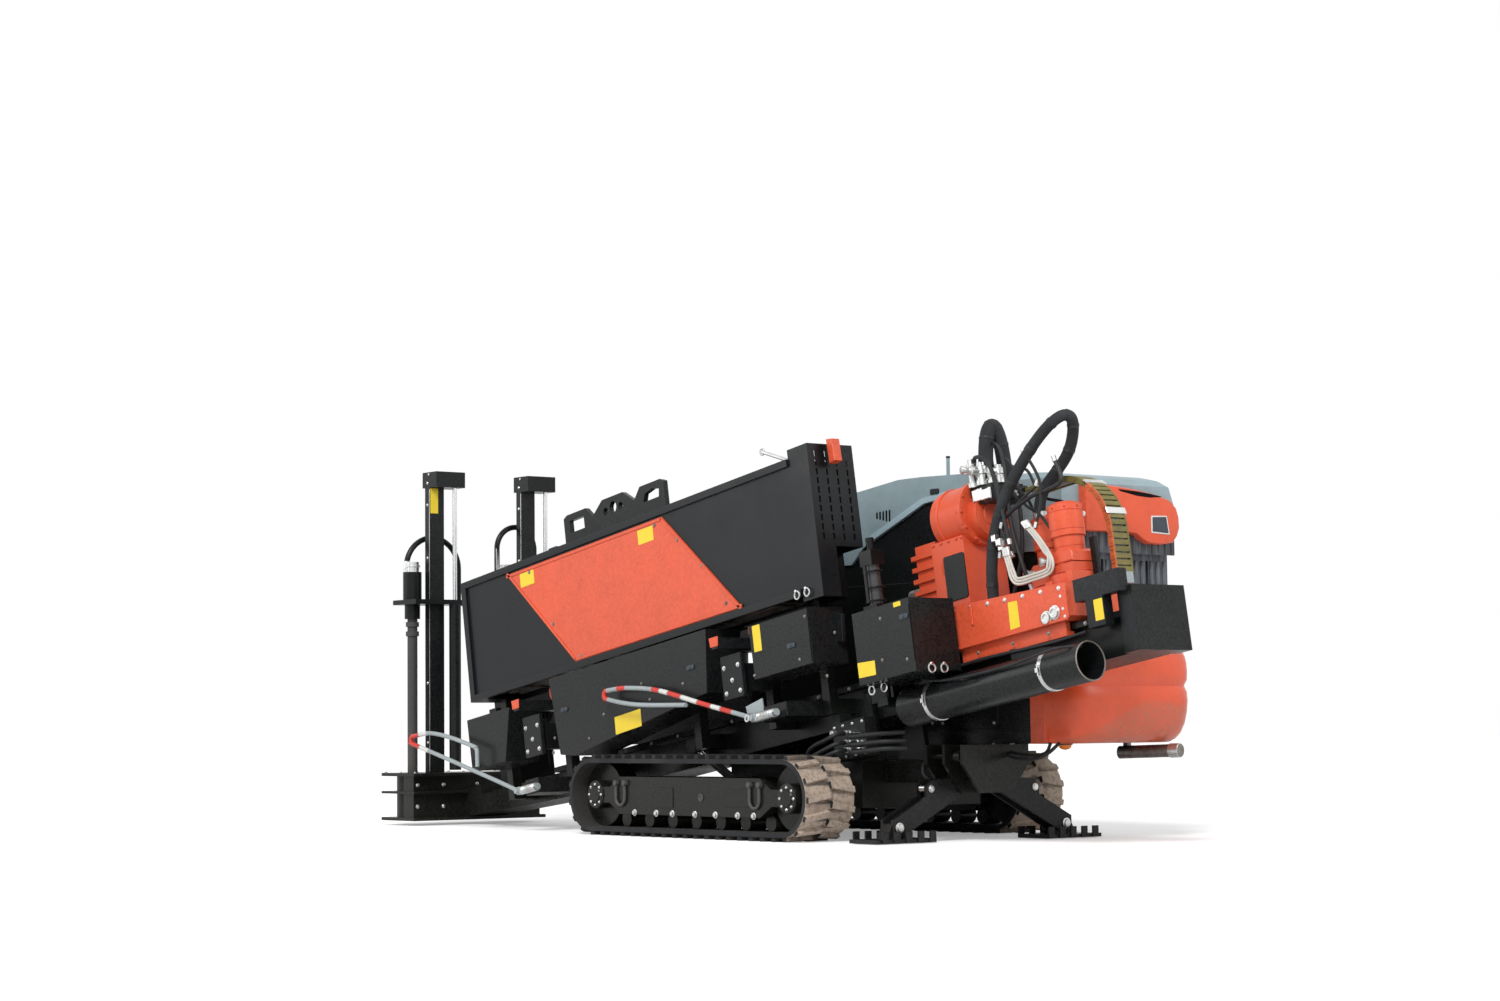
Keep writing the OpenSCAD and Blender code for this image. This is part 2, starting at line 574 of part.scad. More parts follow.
module shuttle_arms() color([0.12, 0.12, 0.12]) on_frame() for (x = shuttle_x) {
    block([x - 25, x + 25], [480, 900], [380, 440]);
    difference() {
        block([x - 45, x + 45], [536, 620], [486, 520]);
        rod_x([x - 50, x + 50], 575, 540, 36);
    }
    block([x - 25, x + 25], [540, 600], [440, 486]);
}

// Carriage on the rail
car = [-1650, -760];
car_top = 285;
module carriage_base() color([0.85, 0.3, 0.2]) on_frame() {
    plate_xz([0, 480], [[car[0], 120], [car[0] + 30, 100], [car[1], 100], [car[1], car_top],
                        [car[0], car_top]]);
    plate_xz([460, 480], [[car[0], car_top], [car[1], car_top], [car[1], car_top + 45]]);
    for (y = [[25, 54], [426, 455]]) block([car[0] + 60, car[1] - 60], y, [30, 100]);
    for (y = [[30, 80], [400, 450]]) block([car[0] + 60, car[1] - 60], y, [30, 54]);
    for (x = [car[0] + 100, car[1] - 200])
        for (y = [[70, 110], [370, 410]]) block([x, x + 100], y, [90.3, 100]);
}
module gearbox() color([0.85, 0.3, 0.2]) on_frame() difference() {
    union() {
        block([-850, -600], [100, 380], [car_top, 700]);
        block([-600, -440], [130, 350], [car_top, 720]);
        for (i = [0:4]) block([-640, -415], [115, 365], [400 + 62 * i, 424 + 62 * i]);
        block([-620, -580], [190, 290], [700, 930]);
        rod_x([-850, -640], drill_y, 815, 160);
        rod_x([-885, -850], drill_y, 815, 170);
        rod_x([-950, -885], drill_y, 790, 120);
        block([-1060, -900], [110, 330], [840, 930]);
    }
    rod_x([-510, -400], drill_y, drill_z, 55 + pin_gap);
}
module spindle() color([0.5, 0.5, 0.5]) on_frame() {
    rod_x([-509, -370], drill_y, drill_z, 55);
    rod_x([-370, -260], drill_y, drill_z, 38);
}
module thrust_motors() color([0.85, 0.3, 0.2]) on_frame()
    for (m = [[-1250, 150], [-1530, 300]]) {
        rod_z(m[0], m[1], [car_top, 350], 110);
        block([m[0] - 90, m[0] + 90], [m[1] - 80, m[1] + 80], [350, 400]);
        rod_z(m[0], m[1], [400, 540], 78);
        rod_z(m[0], m[1], [540, 700], 88);
    }
module carriage_hoses() color([0.05, 0.05, 0.05]) on_frame() {
    hose(concat([[-975, 280, 930]],
                curve([-975, 280, 950], [-1000, 280, 1345], [-1015, 160, 1345], [-990, 160, 950], 12),
                [[-990, 160, 930]]), 40);
    hose(concat([[-990, 350, car_top]],
                curve([-990, 350, 305], [-990, 350, 620], [-1100, 350, 800], [-1350, 348, 990], 8),
                [for (i = [1:6]) curve([-1350, 348, 990], [-1600, 346, 1180], [-1680, 260, 1200],
                                       [-1560, 210, 1050], 6)[i]],
                [for (i = [1:6]) curve([-1560, 210, 1050], [-1450, 165, 900], [-1250, 200, 900],
                                       [-1250, 200, 720], 6)[i]],
                [[-1250, 200, 700]]), 30, [0.3, 1, 0]);
}
function carrier_arc(r) = [for (i = [0:12]) [-1335 - r * sin(7.5 * i), 560 + r * cos(7.5 * i)]];
function turned(p) = [for (i = [len(p) - 1:-1:0]) p[i]];
module hose_carrier() color([0.25, 0.25, 0.15]) on_frame() {
    plate_xz([20, 140], concat([[-1120, 899]], carrier_arc(339), [[-1674, car_top + 60], [-1646, car_top + 60]],
                               turned(carrier_arc(311)), [[-1120, 871]]));
    block([-1674, -1600], [20, 140], [car_top, car_top + 60]);
}

chassis_frame();
track_frames();
track_left();
track_right();
engine_base();
engine_block();
hood();
grille();
engine_cowl();
tail_pipe();
operator_console();
operator_seat();
stabilizer_left();
stabilizer_right();
stab_barrel_left();
stab_barrel_right();
stab_rod_left();
stab_rod_right();
tilt_barrel();
tilt_rod();
frame_beam();
rack();
pipe_box();
box_panel();
drill_pipes();
lifting_bracket();
frame_covers();
frame_fittings();
wrench_fixed();
wrench_rotating();
anchor_base();
masts();
mast_rods();
trip_bars();
storage_tube();
shuttle_arms();
carriage_base();
gearbox();
spindle();
thrust_motors();
carriage_hoses();
hose_carrier();
anchor_drive_left();
anchor_drive_right();
anchor_auger_left();
anchor_auger_right();
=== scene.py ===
import json
import math
from functools import partial
from itertools import groupby
import bmesh
import bpy
from mathutils import Matrix, Vector


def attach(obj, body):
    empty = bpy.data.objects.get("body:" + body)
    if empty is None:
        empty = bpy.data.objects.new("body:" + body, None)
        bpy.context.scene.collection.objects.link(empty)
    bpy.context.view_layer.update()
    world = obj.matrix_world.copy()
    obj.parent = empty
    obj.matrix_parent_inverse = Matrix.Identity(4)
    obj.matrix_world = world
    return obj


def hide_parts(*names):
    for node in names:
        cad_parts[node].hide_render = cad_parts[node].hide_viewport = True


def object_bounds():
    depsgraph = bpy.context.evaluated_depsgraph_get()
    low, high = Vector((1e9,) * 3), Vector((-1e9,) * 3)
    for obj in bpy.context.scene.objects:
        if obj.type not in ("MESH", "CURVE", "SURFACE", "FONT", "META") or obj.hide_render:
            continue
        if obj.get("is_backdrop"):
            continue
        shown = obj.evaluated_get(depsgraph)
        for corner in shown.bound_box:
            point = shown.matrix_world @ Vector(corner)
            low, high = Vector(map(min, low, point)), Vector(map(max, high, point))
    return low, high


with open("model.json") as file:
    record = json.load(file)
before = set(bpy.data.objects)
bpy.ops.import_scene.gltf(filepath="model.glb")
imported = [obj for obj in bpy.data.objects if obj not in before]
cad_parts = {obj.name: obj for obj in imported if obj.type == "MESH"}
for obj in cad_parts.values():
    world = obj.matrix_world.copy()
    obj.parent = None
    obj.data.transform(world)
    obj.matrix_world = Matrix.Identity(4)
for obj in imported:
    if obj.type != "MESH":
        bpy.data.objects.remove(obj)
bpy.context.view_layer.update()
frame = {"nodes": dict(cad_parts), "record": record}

NODES = frame["nodes"]

# Driving sizes repeated from the CAD source: radians and metres, then millimetres
TILT = math.radians(9.11)
SHIFT = -0.188303
PIVOT_X, PIVOT_Z = -1.0, 0.75
WIDTH, BELT_WIDTH = 1827, 327
TRACK_LENGTH, TRACK_HEIGHT = 2208, 453
MAST_SPACING = 698
SHUTTLES = (650, 2630)

# Two ways of placing a form given in millimetres: on the level machine, or on the tilted drill frame
MILLI = Matrix.Scale(0.001, 4)
LEVEL = Matrix.Translation((SHIFT, 0, 0)) @ MILLI
SLOPE = Matrix.Translation((SHIFT + PIVOT_X, 0, PIVOT_Z)) @ Matrix.Rotation(TILT, 4, "Y") @ MILLI

# Places that several pieces share, in millimetres
BELT_Y = (WIDTH - BELT_WIDTH) / 2
HALF_RUN = (TRACK_LENGTH - TRACK_HEIGHT) / 2
TRACK_MID = TRACK_HEIGHT / 2
COVER_Y, BOX_Y, SIDE_Y, TRIP_Y = 800, 736, 480, 860
TUBE_Y, TUBE_Z = 515, -130
DRUM_Y, DRUM_Z = 240, 815
MOTORS = ((-1250, 150), (-1530, 300))
MOTOR_TOP, CASE_TOP = 699, 930
LUBE_X, LUBE_Y = -330, 560
MAST_Y, AUGER_X = 585, 3250
STABILIZER_Y = 100


# Materials
class Nodes:
    """A node tree with short ways to add and join nodes."""

    def __init__(self, owner):
        owner.use_nodes = True
        self.tree = owner.node_tree

    def add(self, kind, values=None, **settings):
        node = self.tree.nodes.new(kind)
        for key, value in settings.items():
            setattr(node, key, value)
        for key, value in (values or {}).items():
            node.inputs[key].default_value = value
        return node

    def join(self, a, b):
        self.tree.links.new(a, b)

    def ramp(self, fac, low, high, a=0.0, b=1.0):
        node = self.add("ShaderNodeMapRange", {"From Min": low, "From Max": high, "To Min": a, "To Max": b})
        self.join(fac, node.inputs["Value"])
        return node.outputs["Result"]

    def math(self, op, a, b):
        node = self.add("ShaderNodeMath", operation=op)
        for i, value in enumerate((a, b)):
            if isinstance(value, (int, float)):
                node.inputs[i].default_value = value
            else:
                self.join(value, node.inputs[i])
        return node.outputs[0]

    def times(self, *values):
        result = values[0]
        for value in values[1:]:
            result = self.math("MULTIPLY", result, value)
        return result


class Coat(Nodes):
    """A new material, with the place of each point on the object."""

    def __init__(self, name):
        self.mat = bpy.data.materials.new(name)
        super().__init__(self.mat)
        self.bsdf = self.tree.nodes["Principled BSDF"]
        self.place = self.add("ShaderNodeTexCoord").outputs["Object"]
        split = self.add("ShaderNodeSeparateXYZ")
        self.join(self.place, split.inputs[0])
        self.x, self.y, self.z = split.outputs

    def noise(self, size, detail=6.0, rough=0.6, stretch=(1, 1, 1)):
        mapping = self.add("ShaderNodeMapping", {"Scale": stretch})
        self.join(self.place, mapping.inputs["Vector"])
        node = self.add("ShaderNodeTexNoise", {"Scale": size, "Detail": detail, "Roughness": rough})
        self.join(mapping.outputs["Vector"], node.inputs["Vector"])
        return node.outputs["Fac"]

    def mix(self, fac, a, b):
        node = self.add("ShaderNodeMix", data_type="RGBA")
        self.join(fac, node.inputs["Factor"])
        for socket, value in ((node.inputs[6], a), (node.inputs[7], b)):
            if isinstance(value, tuple):
                socket.default_value = (*value, 1)
            else:
                self.join(value, socket)
        return node.outputs[2]

    def edges(self):
        return self.add("ShaderNodeNewGeometry").outputs["Pointiness"]

    def bump(self, height, strength, distance, soften):
        node = self.add("ShaderNodeBump", {"Strength": strength, "Distance": distance})
        self.join(height, node.inputs["Height"])
        bevel = self.add("ShaderNodeBevel", {"Radius": soften}, samples=2)
        self.join(bevel.outputs[0], node.inputs["Normal"])
        self.join(node.outputs[0], self.bsdf.inputs["Normal"])

    def finish(self, tone, rough, metallic=0.0, shine=0.5):
        self.join(tone, self.bsdf.inputs["Base Color"])
        self.join(rough, self.bsdf.inputs["Roughness"])
        self.bsdf.inputs["Metallic"].default_value = metallic
        self.bsdf.inputs["Specular IOR Level"].default_value = shine
        return self.mat


DUST = (0.3, 0.25, 0.2)
MUD = (0.33, 0.16, 0.1)
RUST = (0.16, 0.07, 0.035)


def scaled(colour, factor):
    return tuple(min(1.0, c * factor) for c in colour)


def paint(name, base, rough, dusty, shine=0.5, fade=1.25, reach=0.8, mud=False):
    """Painted metal: cloudy fading, fine scuffs, rubbed edges, and dust that thins out with height."""
    n = Coat(name)
    blotch = n.noise(2.5, 5.0, 0.65)
    fine = n.noise(70.0, 8.0, 0.7)
    tone = n.mix(n.ramp(blotch, 0.35, 0.72), base, scaled(base, fade))
    grime = n.ramp(n.noise(7.0, 8.0, 0.7), 0.45, 0.75, 0.0, 0.35)
    tone = n.mix(grime, tone, scaled(base, 0.62))
    low = n.times(n.ramp(n.z, reach, 0.05), n.ramp(fine, 0.3, 0.8), dusty)
    tone = n.mix(low, tone, DUST)
    scuff = n.times(n.ramp(n.noise(30.0, 6.0, 0.6, (1, 1, 5)), 0.66, 0.76), 0.2)
    tone = n.mix(scuff, tone, scaled(base, 1.35))
    worn = n.times(n.ramp(n.edges(), 0.54, 0.62), n.ramp(fine, 0.42, 0.56), 0.3)
    tone = n.mix(worn, tone, tuple(min(1, c * 1.4 + 0.03) for c in base))
    if mud:
        rim = n.math("ADD", n.ramp(n.y, -0.1, -0.5, 0.53, 0.72), n.ramp(n.y, -0.6, -0.85, 0, -0.03))
        near = n.ramp(n.math("SUBTRACT", rim, n.z), -0.01, 0.02)
        back = n.ramp(n.x, SHIFT - 1.9, SHIFT - 2.0)
        tone = n.mix(n.times(near, back, n.ramp(n.noise(28.0, 9.0, 0.75), 0.36, 0.62, 0.1, 0.5)), tone, MUD)
    n.bump(n.noise(380.0, 2.0), 0.03, 0.0008, 0.004)
    return n.finish(tone, n.ramp(blotch, 0.3, 0.75, rough, rough + 0.2), shine=shine)


def metal(name, base, rough, dull, rust=0.0):
    """Bare or plated metal with stains and, where asked for, spots of rust."""
    n = Coat(name)
    stain = n.noise(14.0, 8.0, 0.65)
    tone = n.mix(n.ramp(stain, 0.4, 0.75), base, scaled(base, 1 - dull))
    if rust:
        spot = n.times(n.ramp(n.noise(40.0, 8.0, 0.7), 0.5, 0.66), rust)
        tone = n.mix(spot, tone, RUST)
    n.bump(n.noise(160.0, 3.0), 0.08, 0.001, 0.002)
    return n.finish(tone, n.ramp(stain, 0.3, 0.8, rough, rough + 0.25), metallic=1.0)


def tread():
    """Track rubber: dark, with sandy dust on the lugs, thickest on the rear bend."""
    n = Coat("track_rubber")
    grit = n.noise(40.0, 10.0, 0.7)
    patch = n.noise(5.0, 4.0)
    tone = n.mix(n.ramp(patch, 0.3, 0.7), (0.012, 0.013, 0.015), (0.03, 0.031, 0.032))
    normal = n.add("ShaderNodeSeparateXYZ")
    n.join(n.add("ShaderNodeNewGeometry").outputs["True Normal"], normal.inputs[0])
    flank = n.math("ABSOLUTE", normal.outputs[1], 0)
    outward = n.ramp(flank, 0.9, 0.3)
    rear = n.times(outward, n.ramp(n.x, SHIFT - 0.85, SHIFT - 1.0, 0.04, 1.0))
    proud = n.ramp(n.edges(), 0.47, 0.53)
    film = n.times(rear, n.ramp(n.noise(16.0, 9.0, 0.7), 0.42, 0.66), 0.15)
    tone = n.mix(film, tone, (0.2, 0.16, 0.125))
    tone = n.mix(n.times(rear, proud, n.ramp(grit, 0.3, 0.55, 0.35, 1.0)), tone, (0.5, 0.4, 0.32))
    n.bump(grit, 0.3, 0.003, 0.004)
    return n.finish(tone, n.ramp(grit, 0.3, 0.7, 0.75, 0.95), shine=0.3)


def plain(name, base, rough, spread=0.2, grain=220.0, strength=0.1, shine=0.4):
    """Rubber, plastic or film, with faint clouding and a fine grain."""
    n = Coat(name)
    cloud = n.noise(9.0)
    tone = n.mix(n.ramp(cloud, 0.35, 0.7), base, scaled(base, 1 - spread))
    n.bump(n.noise(grain, 3.0), strength, 0.001, 0.002)
    return n.finish(tone, n.ramp(cloud, 0.3, 0.8, rough, min(1.0, rough + 0.15)), shine=shine)


def slatted(name, base, streak):
    """Ribbed plastic with pale vertical streaks."""
    n = Coat(name)
    line = n.noise(26.0, 5.0, 0.6, (1, 1, 0.12))
    tone = n.mix(n.ramp(line, 0.42, 0.68), base, streak)
    n.bump(line, 0.2, 0.002, 0.004)
    return n.finish(tone, n.ramp(line, 0.3, 0.8, 0.32, 0.5), shine=0.4)


M = {
    "orange": paint("orange_paint", (0.62, 0.084, 0.032), 0.3, 0.1, 0.35, 1.12, 0.7),
    "cowl": paint("orange_cowl", (0.66, 0.092, 0.036), 0.22, 0.08, 0.4, 1.12, 0.7, mud=True),
    # A darker copy of the orange that paints the shade in the motors' seams and small holes
    "red": paint("shaded_orange", (0.42, 0.03, 0.016), 0.4, 0.05, 0.3),
    "black": paint("black_paint", (0.006, 0.007, 0.0075), 0.2, 0.05, 0.2),
    "frame": paint("frame_paint", (0.005, 0.007, 0.0058), 0.2, 0.08, 0.2),
    "slate": paint("box_paint", (0.0065, 0.0076, 0.0088), 0.24, 0.04, 0.2),
    "plate": paint("plate_paint", (0.035, 0.045, 0.058), 0.36, 0.1, 0.35),
    "hood": paint("hood_paint", (0.235, 0.315, 0.345), 0.38, 0.05, 0.4),
    # The pale blue band paints the highlight of the light on the chamfer along the hood's lower edge
    "pale": paint("painted_hood_highlight", (0.33, 0.45, 0.5), 0.4, 0.05, 0.4),
    "grey": paint("grey_paint", (0.3, 0.34, 0.35), 0.42, 0.1, 0.4),
    "rubber": tread(),
    "grille": slatted("grille_plastic", (0.035, 0.04, 0.048), (0.13, 0.145, 0.165)),
    "hose": plain("hose_rubber", (0.012, 0.013, 0.015), 0.5, 0.4),
    "sleeve": plain("hose_sleeve", (0.022, 0.025, 0.028), 0.75, 0.4, 320.0, 0.5),
    "plastic": plain("black_plastic", (0.013, 0.014, 0.015), 0.45, 0.3),
    "seat": plain("seat_vinyl", (0.014, 0.015, 0.018), 0.5, 0.3, 90.0, 0.3),
    "yellow": plain("yellow_film", (0.85, 0.62, 0.03), 0.4, 0.08),
    "amber_strip": plain("orange_link", (0.62, 0.15, 0.05), 0.5, 0.35),
    "stripe": plain("red_stripe", (0.62, 0.045, 0.03), 0.4, 0.15),
    "white": plain("white_stripe", (0.7, 0.7, 0.68), 0.4, 0.12),
    "cream": plain("pale_pipe", (0.62, 0.6, 0.54), 0.4, 0.2),
    "shade": plain("deep_shade", (0.004, 0.004, 0.005), 0.8, 0.2, shine=0.1),
    "chrome": metal("chrome", (0.75, 0.76, 0.78), 0.1, 0.1),
    "zinc": metal("zinc_plate", (0.7, 0.71, 0.7), 0.25, 0.3),
    "brass": metal("brass_plate", (0.62, 0.48, 0.22), 0.3, 0.35),
    "steel": metal("worn_steel", (0.3, 0.28, 0.26), 0.4, 0.5, rust=0.6),
    "iron": paint("cast_iron", (0.05, 0.05, 0.05), 0.6, 0.3, 0.3),
    "link": plain("carrier_link", (0.22, 0.185, 0.05), 0.45, 0.6),
    "clear": plain("clear_cup", (0.05, 0.052, 0.055), 0.15, 0.2, shine=0.5),
    "amber": plain("amber_lens", (0.75, 0.2, 0.02), 0.2, 0.1),
}

PAINTED = {
    "orange": "box_panel carriage_base gearbox thrust_motors",
    "cowl": "engine_cowl",
    "black": "engine_base stabilizer_left stabilizer_right stab_barrel_left stab_barrel_right tilt_barrel"
             " lifting_bracket frame_covers frame_fittings wrench_fixed masts storage_tube shuttle_arms"
             " anchor_drive_left anchor_drive_right",
    "frame": "track_frames chassis_frame frame_beam anchor_base",
    "slate": "pipe_box",
    "hood": "hood",
    "grey": "trip_bars",
    "rubber": "track_left track_right",
    "grille": "grille",
    "hose": "carriage_hoses",
    "plastic": "operator_console",
    "seat": "operator_seat",
    "link": "hose_carrier",
    "chrome": "stab_rod_left stab_rod_right tilt_rod mast_rods",
    "steel": "tail_pipe rack drill_pipes spindle",
    "iron": "engine_block wrench_rotating anchor_auger_left anchor_auger_right",
}
for key, names in PAINTED.items():
    for name in names.split():
        NODES[name].data.materials.clear()
        NODES[name].data.materials.append(M[key])


def repaint(node, key, place, low, high):
    """Gives the node's faces whose middle lies between two corners another material."""
    mesh = NODES[node].data
    mesh.materials.append(M[key])
    back = place.inverted()
    for face in mesh.polygons:
        p = back @ face.center
        if all(a <= v <= b for a, v, b in zip(low, p, high)):
            face.material_index = len(mesh.materials) - 1


repaint("frame_beam", "slate", SLOPE, (-2015, 419, 25), (-1690, 485, 290))
repaint("frame_fittings", "black", SLOPE, (-400, 370, -105), (-140, 610, 65))
repaint("frame_fittings", "clear", SLOPE, (-390, 500, 428), (-270, 620, 642))
repaint("anchor_drive_left", "zinc", LEVEL, (3185, 580, 1608), (3315, 715, 1680))
repaint("anchor_drive_right", "zinc", LEVEL, (3185, -118, 1608), (3315, 17, 1680))
repaint("gearbox", "black", SLOPE, (-1065, 105, 838), (-898, 335, 935))
repaint("shuttle_arms", "orange", SLOPE, (-200, 530, 484), (4000, 625, 525))


def linked(name, data):
    """A new object of the data, in the scene."""
    obj = bpy.data.objects.new(name, data)
    bpy.context.collection.objects.link(obj)
    return obj


def coated(mesh, key, body):
    """An object of the mesh in one material, which rides on a body."""
    mesh.materials.clear()
    mesh.materials.append(M[key])
    obj = linked(mesh.name, mesh)
    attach(obj, body)
    return obj


# Small forms, gathered into one mesh for each piece
def unit(v):
    return v.normalized()


def across(axis):
    """Two directions square to an axis and to each other."""
    side = axis.cross(Vector((0, 0, 1)) if abs(axis.z) < 0.9 else Vector((1, 0, 0)))
    side.normalize()
    return side, axis.cross(side)


def around(count, radius, start=0.0):
    """Pairs of offsets on a circle."""
    angles = [start + 2 * math.pi * k / count for k in range(count)]
    return [(radius * math.cos(a), radius * math.sin(a)) for a in angles]


def rect(x0, z0, x1, z1):
    """The corners of an upright rectangle."""
    return [(x0, z0), (x1, z0), (x1, z1), (x0, z1)]


AXES = {
    "x": Vector((1, 0, 0)), "y": Vector((0, 1, 0)), "z": Vector((0, 0, 1)),
    "-x": Vector((-1, 0, 0)), "-y": Vector((0, -1, 0)), "-z": Vector((0, 0, -1)),
}


def smooth_path(points, step=12.0):
    """Points about one step apart on a smooth curve through the given ones."""
    p = [Vector(q) for q in points]
    p = [2 * p[0] - p[1]] + p + [2 * p[-1] - p[-2]]
    result = []
    for i in range(1, len(p) - 2):
        count = max(2, int((p[i + 1] - p[i]).length / step))
        for k in range(count):
            t = k / count
            a = 2 * p[i]
            b = (p[i + 1] - p[i - 1]) * t
            c = (2 * p[i - 1] - 5 * p[i] + 4 * p[i + 1] - p[i + 2]) * t * t
            d = (3 * p[i] - p[i - 1] - 3 * p[i + 1] + p[i + 2]) * t ** 3
            result.append((a + b + c + d) / 2)
    return result + [p[-2]]


class Piece:
    """One joined mesh that rides on a body, built in millimetres on the level machine or on the slope.

    The forms that may stand alone return the piece, so that done() can follow them.
    """

    def __init__(self, body, place, name, key, slot=None):
        self.name, self.body, self.key, self.place, self.slot = name, body, key, place, slot
        self.verts, self.faces = [], []

    def add(self, verts, faces):
        base = len(self.verts)
        self.verts += [self.place @ Vector(v) for v in verts]
        self.faces += [[base + i for i in face] for face in faces]

    def rings(self, rings, closed=False):
        n = len(rings[0])
        faces = []
        last = len(rings) if closed else len(rings) - 1
        for i in range(last):
            a, b = i * n, (i + 1) % len(rings) * n
            faces += [[a + k, a + (k + 1) % n, b + (k + 1) % n, b + k] for k in range(n)]
        if not closed:
            faces += [list(range(n)), list(range((len(rings) - 1) * n, len(rings) * n))]
        self.add([v for ring in rings for v in ring], faces)

    def lathe(self, start, axis, profile, n=24):
        """A turned form: profile lists (distance along the axis, radius)."""
        axis = AXES[axis] if isinstance(axis, str) else unit(Vector(axis))
        start = Vector(start)
        u, v = across(axis)
        self.rings([[start + s * axis + a * u + b * v for a, b in around(n, r)] for s, r in profile])
        return self

    def rod(self, a, b, r, c=1.5, n=20):
        a, b = Vector(a), Vector(b)
        length = (b - a).length
        self.lathe(a, b - a, [(0, r - c), (c, r), (length - c, r), (length, r - c)], n)

    def prism(self, outline, low, high, axis="y", c=1.5):
        """An outline extruded from low to high along an axis, with small chamfers."""
        size = len(outline)
        following = outline[1:] + outline[:1]
        area = sum(p[0] * q[1] - q[0] * p[1] for p, q in zip(outline, following))
        inner = []
        for i in range(size):
            p, q, r = (Vector(outline[(i + k) % size]) for k in (-1, 0, 1))
            n1 = Vector((-(q - p).y, (q - p).x)).normalized()
            n2 = Vector((-(r - q).y, (r - q).x)).normalized()
            shift = (n1 + n2) / max(0.3, 1 + n1.dot(n2))
            inner.append(q + shift * (c if area > 0 else -c))
        low, high = min(low, high), max(low, high)
        c = min(c, (high - low) / 2.2)

        def at(p, h):
            return {"x": (h, p[0], p[1]), "y": (p[0], h, p[1]), "z": (p[0], p[1], h)}[axis]

        self.rings([[at(p, low) for p in inner], [at(p, low + c) for p in outline],
                    [at(p, high - c) for p in outline], [at(p, high) for p in inner]])
        return self

    def box(self, x, y, z, c=2.0):
        self.prism(rect(x[0], z[0], x[1], z[1]), y[0], y[1], "y", c)

    def panel(self, corners, low, high, axis="y", r=8.0, c=0.6):
        """A plate with rounded corners."""
        size = len(corners)
        outline = []
        for i in range(size):
            p, q, s = (Vector(corners[(i + k) % size]) for k in (-1, 0, 1))
            a, b = unit(p - q), unit(s - q)
            reach = min(r, (p - q).length / 2.2, (s - q).length / 2.2)
            for t in (0, 0.25, 0.5, 0.75, 1):
                outline.append(q + (1 - t) ** 2 * reach * a + t * t * reach * b)
        return self.prism(outline, low, high, axis, c)

    def tube(self, points, r, n=10, smooth=True):
        path = smooth_path(points) if smooth else [Vector(p) for p in points]
        ahead = unit(path[1] - path[0])
        side, _ = across(ahead)
        rings = []
        for i, p in enumerate(path):
            t = unit(path[min(i + 1, len(path) - 1)] - path[max(i - 1, 0)])
            side = unit(side - side.dot(t) * t)
            other = t.cross(side)
            rings.append([p + c * side + s * other for c, s in around(n, r)])
        self.rings(rings)

    def ring(self, centre, axis, big, small, n=28):
        axis = AXES[axis]
        u, v = across(axis)
        centre = Vector(centre)
        loops = []
        for c, s in around(n, 1.0):
            out = c * u + s * v
            loops.append([centre + (big + dr) * out + da * axis for dr, da in around(8, small)])
        self.rings(loops, closed=True)
        return self

    def bolt(self, place, axis, size):
        """A washer with a hexagon head."""
        high = size * 0.75
        self.lathe(place, axis, [(0, size * 1.35), (1.5, size * 1.35), (2, size * 1.25)], 14)
        self.lathe(place, axis, [(1.5, size), (high, size), (high + 1.2, size * 0.82)], 6)

    def coil(self, a, b, big, small, turns):
        a, b = Vector(a), Vector(b)
        axis = b - a
        u, v = across(unit(axis))
        steps = int(turns * 16)
        turn = [c * u + s * v for c, s in around(16, big)]
        points = [a + axis * (i / steps) + turn[i % 16] for i in range(steps + 1)]
        self.tube(points, small, 7, smooth=False)

    def done(self, *replaced):
        mesh = bpy.data.meshes.new(self.name)
        mesh.from_pydata([tuple(v) for v in self.verts], [], self.faces)
        work = bmesh.new()
        work.from_mesh(mesh)
        bmesh.ops.recalc_face_normals(work, faces=work.faces)
        work.to_mesh(mesh)
        work.free()
        mesh.polygons.foreach_set("use_smooth", [True] * len(mesh.polygons))
        mesh.set_sharp_from_angle(angle=math.radians(38))
        obj = coated(mesh, self.key, self.body)
        if replaced:
            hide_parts(*replaced)
        return obj


def copied(name, node, key, keep):
    """A copy of some of a node's faces, in its own material."""
    mesh = NODES[node].data.copy()
    mesh.name = name
    work = bmesh.new()
    work.from_mesh(mesh)
    back = LEVEL.inverted()
    drop = [face for face in work.faces if not keep(back @ face.calc_center_median())]
    bmesh.ops.delete(work, geom=drop, context="FACES")
    work.to_mesh(mesh)
    work.free()
    bodies = frame["record"]["behaviour"]["bodies"]
    coated(mesh, key, next(body for body, names in bodies.items() if node in names))


# Short ways to start a piece on the main bodies, level or on the slope of the drill frame
chassis = partial(Piece, "chassis", LEVEL)
hood = partial(Piece, "hood_body", LEVEL)
seat = partial(Piece, "seat", LEVEL)
carriage = partial(Piece, "carriage", SLOPE)
drill_frame = partial(Piece, "drill_frame", SLOPE)
level_frame = partial(Piece, "drill_frame", LEVEL)


# Engine end: moulded bumper, nose cap and rear hood stand for the CAD's plainer ones
BUMPER_TABLE = [
    (500, 150), (504, 112), (520, 78), (550, 46), (600, 20), (660, 6), (720, 0), (765, 4), (783, 14),
    (795, 19), (808, 14), (826, 3), (870, 0), (915, 3), (950, 12), (985, 30), (1003, 52), (1010, 80),
]
piece = chassis("bumper", "cowl")
loops = []
for z, inset in BUMPER_TABLE:
    loop = [(-1850, -50 - inset * 0.35, z)]
    for c, s in around(64, 1.0)[:33]:
        x = -1970 - (168 - inset) * abs(s) ** 0.55
        y = -475 + (424 - inset * 0.6) * math.copysign(abs(c) ** 0.42, c)
        loop.append((x, y, z))
    loop.append((-1850, -900 + inset * 0.35, z))
    loops.append(loop)
piece.rings(loops)
for low, high in ((-80, -52), (-898, -868)):
    piece.prism([(-1860, 504), (-1748, 500), (-1744, 950), (-1790, 975), (-1860, 1004)], low, high, c=5)
piece.done("engine_cowl")

